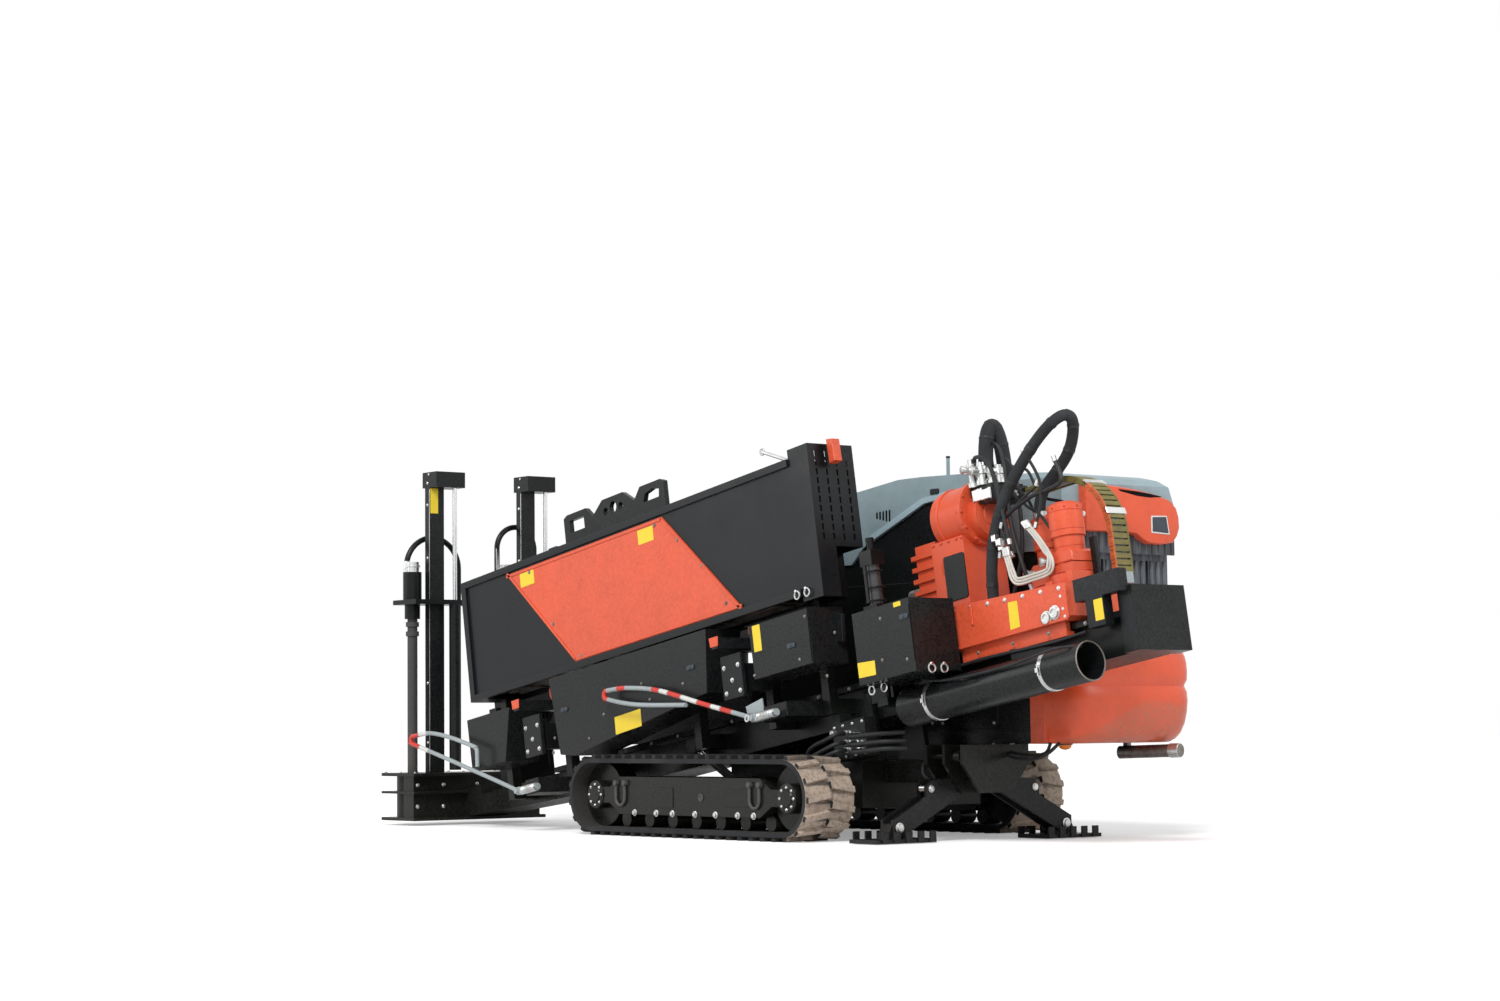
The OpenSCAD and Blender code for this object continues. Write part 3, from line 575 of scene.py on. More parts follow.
CAP = [
    (-190, 1596), (-300, 1597), (-494, 1597), (-560, 1590), (-610, 1560), (-656, 1543), (-760, 1541),
    (-835, 1552), (-868, 1590), (-884, 1630), (-880, 1690), (-862, 1738), (-815, 1778), (-700, 1806),
    (-560, 1826), (-430, 1838), (-300, 1845), (-190, 1847),
]
CAP_Y, CAP_Z = -540, 1690
piece = chassis("nose_cap", "cowl")
piece.rings([[(x, y + (CAP_Y - y) * shrink, z + (CAP_Z - z) * shrink * 2) for y, z in CAP]
             for x, shrink in ((-1998, 0), (-2030, 0), (-2041, 0.008), (-2047, 0.022), (-2050, 0.06))])
piece.done()
piece = chassis("hood_hinge", "hood")
piece.rod((-1505, -560, 1930), (-1505, -390, 1930), 8)
piece.prism([(-1560, 1890), (-1512, 1900), (-1497, 1930), (-1505, 1940), (-1530, 1940)], -500, -450, c=2)
piece.done()


def on_rear_hood(p):
    """Whether a point of the cowl is on its raised part and not on the hinge."""
    hinge = -561 < p.y < -389 and p.x > -1562 and p.z > 1892
    return p.z > 1488 and -2000.5 < p.x < -1509 and not hinge


copied("rear_hood", "engine_cowl", "hood", on_rear_hood)
chassis("cap_vent", "shade").prism(
    [(-425, 1822), (-440, 1812), (-560, 1792), (-660, 1786), (-748, 1794), (-660, 1806), (-560, 1815)],
    -2052, -2044, "x", 1).done()
chassis("badge_plate", "white").panel(
    [(-664, 1690), (-664, 1600), (-800, 1594), (-780, 1694)], -2053, -2046, "x", 6).done()
chassis("badge_face", "plate").panel(
    [(-672, 1683), (-672, 1607), (-790, 1601), (-774, 1687)], -2054.5, -2048, "x", 4).done()

piece = chassis("grille_ribs", "grille")
for i in range(5):
    for k in range(3):
        y = -854 + 163.5 * i + 47 * k
        piece.lathe((-1946, y, 1008), "z", [(0, 12), (4, 15), (445, 15), (449, 12)], 10)
piece.done()
piece = chassis("cap_shadow_gap", "grille")
piece.panel(rect(-884, 1488, -66, 1606), -2003, -1999, "x", 6)
for i in range(17):
    piece.rod((-2002, -860 + 48 * i, 1490), (-2002, -860 + 48 * i, 1604), 7, 2, 8)
piece.done()
chassis("amber_lamp", "amber").lathe(
    (-1896, -160, 503), "-z", [(0, 34), (10, 34), (24, 30), (32, 18), (35, 2)]).done()
chassis("amber_lamp_base", "plastic").lathe(
    (-1896, -160, 507), "-z", [(0, 38), (9, 40), (13, 38)]).done()
piece = chassis("low_hoses", "hose")
piece.tube([(-1560, 0, 520), (-1573, -5, 493), (-1649, -10, 458), (-1800, -15, 442), (-1900, -18, 455),
            (-1935, -20, 505)], 9)
piece.tube([(-1560, 30, 520), (-1600, 25, 470), (-1700, 20, 430), (-1840, 10, 424), (-1930, 0, 450),
            (-1960, -60, 505)], 9)
piece.tube([(-1360, 200, 470), (-1330, 300, 420), (-1340, 330, 350), (-1380, 290, 310),
            (-1440, 240, 330)], 10)
piece.tube([(-1360, 10, 470), (-1300, -20, 400), (-1290, -60, 340), (-1380, -110, 330)], 10)
piece.done()

# Painted highlight: a pale strip on the hood's side, for the light on its lower chamfer
hood("hood_painted_highlight", "pale").prism(
    [(-1150, 1833), (-923, 1805), (-462, 1618), (-430, 1640), (-905, 1835), (-1150, 1864)],
    -65.6, -62, c=0.8).done()
piece = hood("hood_vents", "shade")
for i in range(5):
    x = -640 + 27 * i
    piece.panel(rect(x, 1722 + i * 6, x + 12, 1790 - i * 2), -65.6, -62.5, r=5)
for i in range(9):
    x = -150 + 44 * i
    piece.panel(rect(x, 1600, x + 16, 1760), -65.6, -62.5, r=7)
    piece.panel(rect(x, 1600, x + 16, 1760), -887.5, -884.4, r=7)
piece.done()
piece = hood("hood_latches", "plastic")
for x in (-1050, 250):
    for low, high in ((-65.5, -58), (-892, -884.5)):
        piece.panel(rect(x, 1850, x + 70, 1880), low, high, r=10)
piece.lathe((-860, -300, 1938), "z", [(0, 24), (8, 24), (16, 14), (20, 12)], 20)
piece.lathe((-860, -300, 2068), "z", [(0, 9), (3, 12), (12, 12), (14, 6)], 16)
piece.done()
piece = chassis("engine_panels", "frame")
for low, high in ((-80.5, -74), (-886, -879.5)):
    for x0, x1 in ((-1480, -1010), (-990, -520), (-500, -30), (-10, 360)):
        piece.panel(rect(x0, 580, x1, 1380), low, high, r=30, c=2)
piece.done()
piece = chassis("engine_panel_bolts", "zinc")
for x in (-1450, -1040, -960, -550, -470, -60, 20, 330):
    for z in (610, 980, 1350):
        piece.bolt((x, -74, z), "y", 7)
        piece.bolt((x, -886, z), "-y", 7)
piece.done()


# Seat and console
def cushion(centre, size, crown, turn=0.0):
    """A crowned pad with pulled-in sides, on a frame that leans back by turn."""
    spin = Matrix.Translation(Vector(centre)) @ Matrix.Rotation(turn, 4, "Y")
    loops = []
    for z, grow in ((0.0, 0.93), (0.12, 0.99), (0.45, 1.0), (0.75, 0.985), (0.92, 0.94), (1.0, 0.86),
                    (1.04, 0.6), (1.05, 0.2)):
        bulge = crown * (1 - (grow - 0.2) ** 2) if z > 0.9 else 0
        loop = []
        for c, s in around(56, 1.0):
            x = math.copysign(abs(c) ** 0.32, c) * size[0] / 2 * grow
            y = math.copysign(abs(s) ** 0.32, s) * size[1] / 2 * grow
            loop.append(spin @ Vector((x, y, z * size[2] + bulge)))
        loops.append(loop)
    return loops


LEAN = math.radians(84.5)
ARM_RESTS = (-795, -280)
piece = seat("seat_cushions", "seat")
piece.rings(cushion((1335, -495, 1075), (430, 410, 105), 14))
piece.rings(cushion((1178, -495, 1430), (640, 400, 80), 14, LEAN))
piece.rings(cushion((1140, -495, 1900), (250, 300, 75), 12, LEAN))
for y in ARM_RESTS:
    piece.rings(cushion((1370, y + 42, 1296), (360, 82, 24), 6))
piece.done()
piece = seat("seat_shell", "plastic")
piece.prism([(1095, 1100), (1120, 1070), (1150, 1075), (1120, 1900), (1104, 2036), (1092, 2036)],
            -680, -310, c=8)
piece.box((1180, 1560), (-795, -195), (1060, 1078), 4)
for y in ARM_RESTS:
    piece.prism([(1182, 1080), (1556, 1080), (1556, 1270), (1530, 1296), (1205, 1296), (1182, 1270)],
                y + 3, y + 82, c=8)
    piece.lathe((1500, y + 42, 1300), "z",
                [(0, 24), (6, 24), (14, 12), (70, 10), (76, 17), (112, 18), (119, 12)], 20)
piece.lathe((1300, -495, 900.5), "z", [(0, 62), (10, 62), (14, 52), (150, 52), (159, 62)], 28)
piece.done("operator_seat")
chassis("console_panel", "plastic").prism(
    [(1790, 1300), (1878, 1290), (1878, 1350), (1800, 1349)], -750, -250, c=6).done()
chassis("console_screen", "shade").panel(
    rect(-660, 1120, -400, 1270), 1774.5, 1781, "x", 14).done()
piece = chassis("console_knobs", "zinc")
for i in range(5):
    piece.lathe((1781, -640 + 60 * i, 1060), "-x", [(0, 14), (6, 14), (8, 9), (18, 9), (20, 6)], 16)
piece.done()
tail_way = unit(Vector((-360, -90, 10)))
chassis("exhaust_end", "zinc").lathe(
    Vector((-2108, -789.5, 458)) - 62 * tail_way, tail_way,
    [(0, 36), (2, 38), (60, 38), (62, 36), (61, 31), (8, 31)], 28).done()

# Gearbox, carriage and hoses
piece = carriage("drum_flange", "orange")
lobes = []
for x, grow in ((-886, -3), (-882, 0), (-853, 0), (-849, -3)):
    lobe = []
    for k in range(96):
        a = 2 * math.pi * k / 96
        r = 164 + grow + 8 * math.cos(12 * a)
        lobe.append((x, DRUM_Y + r * math.cos(a), DRUM_Z + r * math.sin(a)))
    lobes.append(lobe)
piece.rings(lobes)
piece.lathe((-700, DRUM_Y, DRUM_Z), "x", [(0, 163), (4, 168), (16, 168), (20, 163)], 48)
piece.lathe((-648, DRUM_Y, DRUM_Z), "x", [(0, 158), (8, 150), (8, 60), (22, 56), (22, 2)], 40)
piece.lathe((-948, DRUM_Y, 790), "-x", [(0, 118), (4, 110), (4, 70), (12, 66), (12, 2)], 36)
piece.ring((-600, DRUM_Y, 945), "x", 24, 8)
for y, way in ((104, "-y"), (376, "y")):
    piece.lathe((-725, y, 560), way, [(0, 62), (5, 62), (8, 56), (9, 2)], 32)
piece.done()
piece = carriage("gearbox_bolts", "orange")
for y, z in around(12, 162):
    piece.bolt((-886, DRUM_Y + y, DRUM_Z + z), "-x", 8)
for y, z in around(12, 160, 0.2):
    piece.bolt((-683, DRUM_Y + y, DRUM_Z + z), "x", 4)
for x in (-840, -800, -740, -680, -620):
    for z in (300, 690):
        piece.bolt((x, 380, z), "y", 8)
        piece.bolt((x, 100, z), "-y", 8)
for x, y in MOTORS:
    for dx, dy in around(8, 96, math.pi / 8):
        piece.bolt((x + dx, y + dy, 350), "z", 8)
    for dx, dy in around(8, 70, math.pi / 8):
        piece.lathe((x + dx, y + dy, MOTOR_TOP), "z", [(0, 9), (5, 9), (6, 7)], 10)
piece.done()
# Painted shade: flush rings and dots of darker orange where the motor housings have seams and holes
piece = carriage("motor_seams", "red")
for x, y in MOTORS:
    for z, r in ((352, 108), (430, 78.5), (484, 78.5), (541, 87), (570, 88.6), (664, 88.6)):
        piece.lathe((x, y, z), "z", [(0, r - 1), (1, r + 0.3), (3, r + 0.3), (4, r - 1)], 40)
    for dx, dy in around(8, 88):
        piece.lathe((x + dx, y + dy, 682), (dx, dy, 0), [(0, 6), (1.5, 6)], 10)
piece.done()
piece = carriage("motor_caps", "orange")
for x, y in MOTORS:
    piece.lathe((x, y, MOTOR_TOP), "z", [(0, 84), (6, 80), (8, 60), (16, 56), (17, 2)], 36)
    piece.prism([(x - 92, 404), (x + 92, 404), (x + 92, 452), (x + 70, 470), (x - 70, 470), (x - 92, 452)],
                y - 82, y + 82, c=6)
piece.box((-1640, -1600), (306, 420), (286, 352), 6)
piece.box((-1470, -1420), (330, 400), (286, 330), 6)
piece.done()
piece = carriage("gearbox_side_panel", "black")
piece.panel(rect(-846, 377, -687, 613), 379, 386, r=18)
piece.box((-1670, -1630), (240, 262), (290, 520), 3)
piece.box((-1400, -1340), (60, 120), (286, 420), 4)
piece.done()

piece = carriage("carriage_bolts", "zinc")
for i in range(7):
    piece.bolt((-1600 + 130 * i, SIDE_Y, 264.5 + 6.5 * i), "y", 9)
for x, z in ((-790, 155), (-794, 108), (-1617, 159), (-1624, 120), (-1609, 222)):
    piece.bolt((x, SIDE_Y, z), "y", 9)
for x, z in ((-1492, 136), (-1554, 152)):
    piece.lathe((x, SIDE_Y - 1, z), "y",
                [(0, 36), (5, 36), (6, 30), (16, 30), (18, 25), (17, 18), (12, 17), (12, 2)])
piece.done()
piece = carriage("carriage_ribs", "orange")
piece.box((-966, -950), (479, 490), (205, 305), 3)
piece.box((-1650, -1596), (479, 486), (108, 246), 3)
piece.box((-1640, -770), (478, 488), (100, 116), 3)
piece.done()

piece = carriage("pale_pipes", "cream")
for d in (0, 15, 30):
    piece.tube([(-1170 - d, 404, 520), (-1180 - d, 404, 470), (-1198 - d * 0.9, 404, 392 + d),
                (-1245, 404, 358 + d), (-1350, 404, 356 + d), (-1450, 404, 360 + d),
                (-1495 + d, 404, 378 + d), (-1508 + d, 404, 420 + d), (-1485 + d, 402, 475),
                (-1430 + d, 398, 556), (-1365 + d, 392, 632)], 7)
piece.done()
piece = carriage("carriage_fittings", "zinc")
for d in (0, 15, 30):
    piece.rod((-1170 - d, 404, 515), (-1167 - d, 404, 560), 11)
    piece.rod((-1372 + d, 393, 622), (-1345 + d, 391, 662), 12)
for x, y, z, w in ((-1130, 330, 560, 44), (-1160, 380, 575, 34), (-1095, 350, 610, 30)):
    piece.box((x, x + w), (y, y + 40), (z, z + 38), 5)
for x, y in MOTORS:
    piece.lathe((x + 70, y + 60, 430), (0.5, 1, 0),
                [(0, 24), (20, 24), (22, 18), (48, 18), (50, 24), (66, 24), (68, 15)], 12)
for x, y, up, r in ((-930, 300, 90, 17), (-950, 235, 150, 20), (-945, 175, 125, 18), (-915, 265, 70, 15),
                    (-1040, 305, 60, 15), (-1030, 215, 62, 15), (-910, 140, 60, 14)):
    piece.lathe((x, y, CASE_TOP), "z", [(0, r + 6), (16, r + 6), (18, r), (up * 0.5, r), (up * 0.55, r + 5),
                                        (up * 0.9, r + 5), (up, r)], 12)
for x, y, up, r in ((-905, 190, 190, 24), (-985, 320, 120, 26), (-1050, 262, 96, 22), (-925, 332, 150, 18)):
    piece.lathe((x, y, CASE_TOP), "z", [(0, r + 8), (24, r + 8), (26, r), (up * 0.45, r), (up * 0.5, r + 7),
                                        (up * 0.82, r + 7), (up * 0.86, r - 3), (up, r - 3)], 12)
    piece.lathe((x, y + 10, CASE_TOP + up * 0.62), (0.3, 1, 0.1),
                [(0, r - 2), (34, r - 2), (36, r + 3), (50, r + 3), (52, r - 6)], 10)
piece.box((-1000, -925), (332, 352), (850, 915), 5)
piece.box((-1058, -1000), (332, 350), (848, 905), 5)
for x, y, low, high, r in ((-990, 350, 288, 330, 40), (-1250, 200, 700, 735, 36), (-975, 280, 928, 962, 47),
                           (-990, 160, 928, 962, 47)):
    piece.rod((x, y, low), (x, y, high), r)
piece.done()


def bezier(a, b, c, d, n):
    a, b, c, d = (Vector(p) for p in (a, b, c, d))
    return [(1 - t) ** 3 * a + 3 * (1 - t) ** 2 * t * b + 3 * (1 - t) * t * t * c + t ** 3 * d
            for t in [i / n for i in range(n + 1)]]


# The two large hoses: one arches over the gearbox, the other leans back over the motors
arch = bezier((-975, 280, 950), (-1000, 280, 1345), (-1015, 160, 1345), (-990, 160, 950), 40)
lean = (bezier((-990, 350, 300), (-990, 350, 620), (-1100, 350, 800), (-1350, 348, 990), 30)
        + bezier((-1350, 348, 990), (-1600, 346, 1180), (-1680, 260, 1200), (-1560, 210, 1050), 26)[1:]
        + bezier((-1560, 210, 1050), (-1450, 165, 900), (-1250, 200, 900), (-1250, 200, 720), 26)[1:])
piece = carriage("carriage_hose_loops", "sleeve", slot="hose_rubber")
piece.tube([(-975, 280, 930)] + arch + [(-990, 160, 930)], 39, 18, smooth=False)
piece.tube(lean, 29.5, 16, smooth=False)
piece.done("carriage_hoses")
piece = carriage("hose_wraps", "plastic")
for path, r in ((arch, 41), (lean, 31.5)):
    for i in range(3, len(path) - 3, 7):
        piece.rod(path[i], path[i + 1], r, 2, 18)
piece.done()

THIN = [
    [(-930, 300, 1010), (-960, 330, 1080), (-1060, 345, 1040), (-1120, 350, 900), (-1150, 360, 740),
     (-1180, 372, 600)],
    [(-950, 235, 1070), (-1010, 250, 1150), (-1120, 300, 1090), (-1180, 340, 940), (-1175, 350, 822),
     (-1120, 350, 700)],
    [(-1040, 305, 985), (-1080, 330, 960), (-1112, 345, 800), (-1108, 350, 698), (-1146, 352, 590),
     (-1165, 352, 536)],
    [(-1500, 300, 960), (-1543, 310, 830), (-1456, 330, 797), (-1326, 335, 787), (-1141, 345, 720),
     (-1100, 345, 600)],
    [(-1400, 330, 860), (-1378, 330, 834), (-1254, 335, 784), (-1124, 340, 704), (-1060, 330, 560)],
    [(-1340, 350, 1030), (-1405, 345, 907), (-1420, 340, 834), (-1414, 350, 728), (-1390, 370, 640)],
    [(-1296, 330, 960), (-1220, 330, 911), (-1175, 335, 822), (-1170, 330, 660), (-1200, 320, 480),
     (-1220, 300, 360)],
    [(-1015, 215, 990), (-1060, 230, 1060), (-1150, 250, 980), (-1200, 260, 800), (-1330, 280, 700),
     (-1440, 290, 560)],
    [(-910, 140, 985), (-960, 110, 1040), (-1080, 90, 1000), (-1150, 80, 850), (-1300, 70, 780),
     (-1420, 80, 700)],
    [(-1060, 240, 885), (-1120, 240, 860), (-1160, 250, 760), (-1150, 260, 560), (-1100, 280, 400),
     (-1060, 300, 292)],
    [(-1060, 180, 885), (-1130, 170, 850), (-1180, 130, 700), (-1320, 90, 620), (-1380, 80, 430)],
    [(-1120, 60, 888), (-1060, 80, 900), (-1000, 100, 890), (-960, 118, 880)],
    [(-1120, 100, 888), (-1080, 130, 905), (-1060, 150, 885)],
]
piece = carriage("thin_hoses", "hose")
for i, path in enumerate(THIN):
    piece.tube(path, 8 if i % 3 else 11, 9)
piece.done()
piece = carriage("thin_hose_ends", "zinc")
for path in THIN:
    start, second, before, end = (Vector(path[i]) for i in (0, 1, -2, -1))
    out, back = unit(end - before), unit(start - second)
    piece.rod(end - out * 6, end + out * 26, 13, n=6)
    piece.rod(start - back * 30, start + back * 4, 12, n=12)
piece.done()

# Hose carrier: link plates on both sides, hoses between them and cross bars outside
ARC_X, ARC_Z, ARC_RADIUS = -1335, 560, 325
LINK = [(-22, -13), (-16, -19), (16, -19), (22, -13), (22, 8), (16, 14), (-16, 14), (-22, 8)]


def turned(x, z, a, corners):
    """Corners given along and out of the carrier, at a place where it has turned by a degrees."""
    s, c = math.sin(math.radians(a)), math.cos(math.radians(a))
    return [(x - u * c - v * s, z - u * s + v * c) for u, v in corners]


run = [(-1120 - 36 * i, 885, 0) for i in range(6)]
run += [(*turned(ARC_X, ARC_Z, a, [(0, ARC_RADIUS)])[0], a) for a in range(0, 91, 6)]
run += [(-1660, 560 - 34 * i, 90) for i in range(1, 7)]
upper = carriage("carrier_links", "link")
lower = carriage("carrier_low_links", "amber_strip")
far = carriage("carrier_far_links", "link")
bars = carriage("carrier_bars", "link")
for i, (x, z, a) in enumerate(run):
    links = lower if a > 36 else upper
    links.prism(turned(x, z, a, LINK), 128, 140 if i % 2 else 137)
    links.rod((x, 139, z), (x, 143, z), 6, 1, 12)
    far.prism(turned(x, z, a, LINK), 20, 32 if i % 2 else 30)
    bars.prism(turned(x, z, a, rect(-13, 8, 13, 14)), 32, 128, c=1)
for piece in (upper, lower, far, bars):
    piece.done()
piece = carriage("carrier_hoses", "grey", slot="plastic")
middle = [turned(x, z, a, [(0, -6)])[0] for x, z, a in run]
for k, y in enumerate((46, 66, 88, 110)):
    piece.tube([(x, y, z) for x, z in middle], 8.5 + k % 2, 8)
piece.box((-1674, -1600), (24, 136), (286, 345), 4)
piece.done("hose_carrier")
piece = carriage("carrier_clamps", "zinc")
for a in (38, 74):
    piece.prism(turned(ARC_X, ARC_Z, a, rect(-17, ARC_RADIUS + 12, 17, ARC_RADIUS + 21)), 12, 148)
piece.done()

# Drill frame: pipe-box fittings, cover trims, trip bars, tube and manifold
piece = drill_frame("blank_stickers", "yellow")
for y, corners in (
    (COVER_Y, [(1781, 198), (1523, 204), (1525, 106), (1783, 97)]),
    (COVER_Y, [(435, 465), (368, 464), (368, 322), (435, 322)]),
    (COVER_Y, rect(-788, 335, -732, 359)),
    (COVER_Y, [(-402, 110), (-539, 100), (-538, 26), (-403, 31)]),
    (SIDE_Y, rect(-1885, 56, -1825, 160)),
    (BOX_Y, rect(1320, 1135, 1470, 1219)),
    (BOX_Y, rect(2555, 1140, 2705, 1224)),
):
    piece.panel(corners, y - 0.5, y + 1.2, r=4, c=0.4)
piece.done()
carriage("carriage_sticker", "yellow").panel(
    [(-1229, 267), (-1296, 263), (-1296, 131), (-1224, 128)], SIDE_Y - 0.5, SIDE_Y + 1.2, r=4, c=0.4).done()

piece = drill_frame("cover_latches", "plate")
for x, z in ((1014, 346), (2272, 326), (116, 300), (-803, 276)):
    piece.panel(rect(x - 34, z - 13, x + 34, z + 13), COVER_Y - 0.5, COVER_Y + 7, r=12, c=2)
    piece.lathe((x, COVER_Y + 6, z), "y", [(0, 9), (4, 9), (5, 7)], 16)
piece.done()
piece = drill_frame("cover_bolts", "steel")
for x, z in ((1489, 340), (1100, 271), (1423, 239), (1882, 232), (455, 200), (-20, 430), (60, 215),
             (-150, 90), (-620, 300), (-600, 90), (-790, 60), (-250, 300), (2400, 180), (2050, 120)):
    piece.bolt((x, COVER_Y, z), "y", 7)
for x, z in ((2146, 621), (719, 650), (1300, 1215), (2600, 1215), (900, 900), (1100, 1090), (2400, 860)):
    piece.bolt((x, BOX_Y, z), "y", 9)
for x in range(-1750, 2700, 260):
    piece.bolt((x, SIDE_Y, 60), "y", 8)
piece.done()


def strip(a, b, inner, outer):
    """The corners of a strip beside a line, between two distances to its left."""
    a, b = Vector(a), Vector(b)
    n = unit(Vector((-(b - a).y, (b - a).x)))
    return [a + n * inner, b + n * inner, b + n * outer, a + n * outer]


RIM = [(581, 598), (2207, 598), (2849, 1248), (1228, 1248)]
piece = drill_frame("box_trim", "orange")
for i in range(4):
    piece.prism(strip(RIM[i], RIM[(i + 1) % 4], 3.2, 20.8), BOX_Y - 1, BOX_Y + 5)
piece.prism([(-140, 1368), (-190, 1360), (-196, 1240), (-148, 1232)], 566, 622, c=4)
piece.done()
piece = drill_frame("retaining_pins", "zinc")
piece.rod((308, 700, 1403), (55, 700, 1286), 10, n=14)
piece.ring((308, 700, 1403), "y", 17, 5)
piece.lathe((55, 684, 1286), "y", [(0, 17), (32, 17)], 18)
for x in (7, 92):
    piece.ring((x, 744, 566), "y", 21, 5)
    piece.rod((x, BOX_Y, 588), (x, BOX_Y + 20, 588), 8)
for x in (-475, -377):
    piece.ring((x, 703, -26), "y", 22, 5)
    piece.rod((x, 703, -8), (x, 703, 24), 9)
for y in (620, 703):
    piece.ring((-858, y, 4), "x", 22, 5)
    piece.rod((-866, y, 26), (-846, y, 26), 9)
piece.done()
# Painted shade: thin near-black strips along the covers' edges, for the shade in the gaps there
piece = drill_frame("cover_shade_lines", "shade")
for a, b in (((498, 472), (-46, 474)), ((-46, 474), (-42, 184)), ((-850, 40), (-850, 330)),
             ((2480, 40), (2480, 330))):
    piece.prism(strip(a, b, -4, 4), COVER_Y - 1, COVER_Y + 1.2, c=0.5)
piece.done()
piece = drill_frame("cover_lug", "black")
piece.prism([(56, 487), (-111, 423), (-94, 283), (18, 293)], 600, 625, c=3)
for x in SHUTTLES:
    piece.panel(rect(x - 90, 110, x + 90, 350), COVER_Y - 2, COVER_Y + 3, r=12, c=1.5)
piece.done()
piece = drill_frame("shuttle_bolts", "zinc")
for x in SHUTTLES:
    for dx, z in ((-62, 285), (62, 285), (-62, 145), (62, 145), (0, 210)):
        piece.bolt((x + dx, COVER_Y + 3, z), "y", 10)
piece.done()
piece = Piece("shuttle", SLOPE, "shuttle_pads", "orange")
for x in SHUTTLES:
    piece.prism([(x - 46, 521), (x + 46, 521), (x + 46, 478), (x + 20, 440), (x - 30, 446), (x - 46, 478)],
                619, 625, c=2)
    piece.prism([(x - 40, 445), (x + 40, 445), (x + 34, 392), (x - 34, 392)], 899, 905, c=2)
piece.done()

# Trip bars: two bent tubes with red and white bands, and a spring at the foot of each
NEAR = [
    (428.3, -35), (650, 43), (884, 126), (1257, 261), (1548, 326), (1740, 345), (1759, 343), (1772, 335),
    (1777, 321), (1772, 307), (1757, 299), (1601, 250), (1402, 204), (1012, 137),
]
FAR = [
    (2740.3, -82), (2915, -8), (3175, 98), (3550, 250), (3890, 386), (3901, 396), (3905, 410), (3899, 424),
    (3887, 432), (3872, 431), (3676, 418), (3449, 355), (3186, 256), (3168, 245), (3158, 226), (3159, 200),
    (3168, 130),
]
RED = ((1738, 1800), (1559, 1638), (1241, 1316), (1042, 1159), (779, 901), (598, 702))


def band(table, x, past):
    """The colour of a trip bar at x, where past counts the steps beyond its bend."""
    if table is FAR:
        return "red" if x > 3800 else "white" if x > 3700 else None
    if past > 8:
        return None
    if any(a <= x <= b for a, b in RED):
        return "red"
    return "white" if past < 0 and 598 < x < 1316 else None


bar = drill_frame("trip_bars", "grey")
bands = {"red": drill_frame("trip_red", "stripe"), "white": drill_frame("trip_white", "white")}
for table in (NEAR, FAR):
    path = smooth_path([(x, TRIP_Y, z) for x, z in table], 9.0)
    bar.tube(path, 13, 14, smooth=False)
    bend = max(range(len(path)), key=lambda i: path[i].x)
    for key, stretch in groupby(range(len(path)), lambda i: band(table, path[i].x, i - bend)):
        places = [path[i] for i in stretch]
        if key and len(places) > 1:
            bands[key].tube(places, 13.7, 14, smooth=False)
    x, z = table[0]
    bar.rod((x - 20, 800, z), (x - 20, 900, z), 18)
    bar.box((x - 40, x - 1), (838, 882), (z - 22, z + 22), 4)
    bar.rod((x - 200, TRIP_Y, z), (x - 40, TRIP_Y, z), 12)
    bar.lathe((x - 204, TRIP_Y, z), "x", [(0, 20), (6, 20), (7, 14)], 16)
bar.done("trip_bars")
piece = drill_frame("trip_feet", "black")
piece.box((200, 425), (500, 812), (-60, 20), 4)
piece.box((2600, 2740), (560, 812), (-110, -20), 4)
piece.done()
for piece in bands.values():
    piece.done()
piece = drill_frame("trip_springs", "zinc")
piece.coil((388, TRIP_Y, -35), (234, TRIP_Y, -35), 21, 4.5, 11)
piece.coil((2700, TRIP_Y, -82), (2546, TRIP_Y, -82), 21, 4.5, 11)
piece.ring((430, 903, -35), "y", 16, 5)
piece.done()
drill_frame("trip_plates", "grey").prism(
    [(545, 47), (396, 68), (393, -9), (535, 4)], 806, 816, c=2).done()

# Storage tube, valve block hoses and pipe lubricator
piece = drill_frame("tube_bands", "zinc")
for x in (-1540, -680):
    piece.lathe((x, TUBE_Y, TUBE_Z), "x", [(0, 100), (1, 104), (24, 104), (25, 100)], 40)
    piece.box((x + 2, x + 22), (612, 634), (-142, -118), 2)
    piece.rod((x + 12, 623, -160), (x + 12, 623, -100), 5)
piece.done()
drill_frame("tube_rim", "steel").ring((-1789, TUBE_Y, TUBE_Z), "x", 96, 4.4, 40).done()
drill_frame("tube_bracket", "slate").prism(
    [(-1203, 35), (-1581, -19), (-1491, -52), (-1206, -22)], 476, 484, c=2).done()
piece = drill_frame("frame_hoses", "hose")
for i, z in enumerate((-178, -227, -267)):
    piece.tube([(68 + 6 * i, 520, z), (64 + 6 * i, 600, z - 4), (110 + 20 * i, 640, z - 26),
                (260 + 20 * i, 640, z - 60), (420, 560, -330), (520, 470, -360)], 12)
for i, z in enumerate((-199, -243, -283)):
    piece.tube([(-14 - 6 * i, 520, z), (-20 - 6 * i, 590, z - 4), (-80 - 10 * i, 620, z - 20),
                (-220 - 20 * i, 580, z - 30), (-340, 480, z - 40)], 12)
piece.tube([(-1786, 560, -60), (-1650, 610, -48), (-1300, 617, -70), (-900, 612, -60), (-640, 560, -20),
            (-500, 500, 30)], 7)
piece.tube([(-1740, 470, 20), (-1500, 488, 10), (-1000, 490, 22), (-700, 492, 14), (-460, 500, 30)], 9)
piece.tube([(-330, 560, 430), (-300, 600, 380), (-260, 560, 330), (-200, 520, 180), (-190, 500, 60)], 7)
piece.done()
piece = drill_frame("manifold_fittings", "zinc")
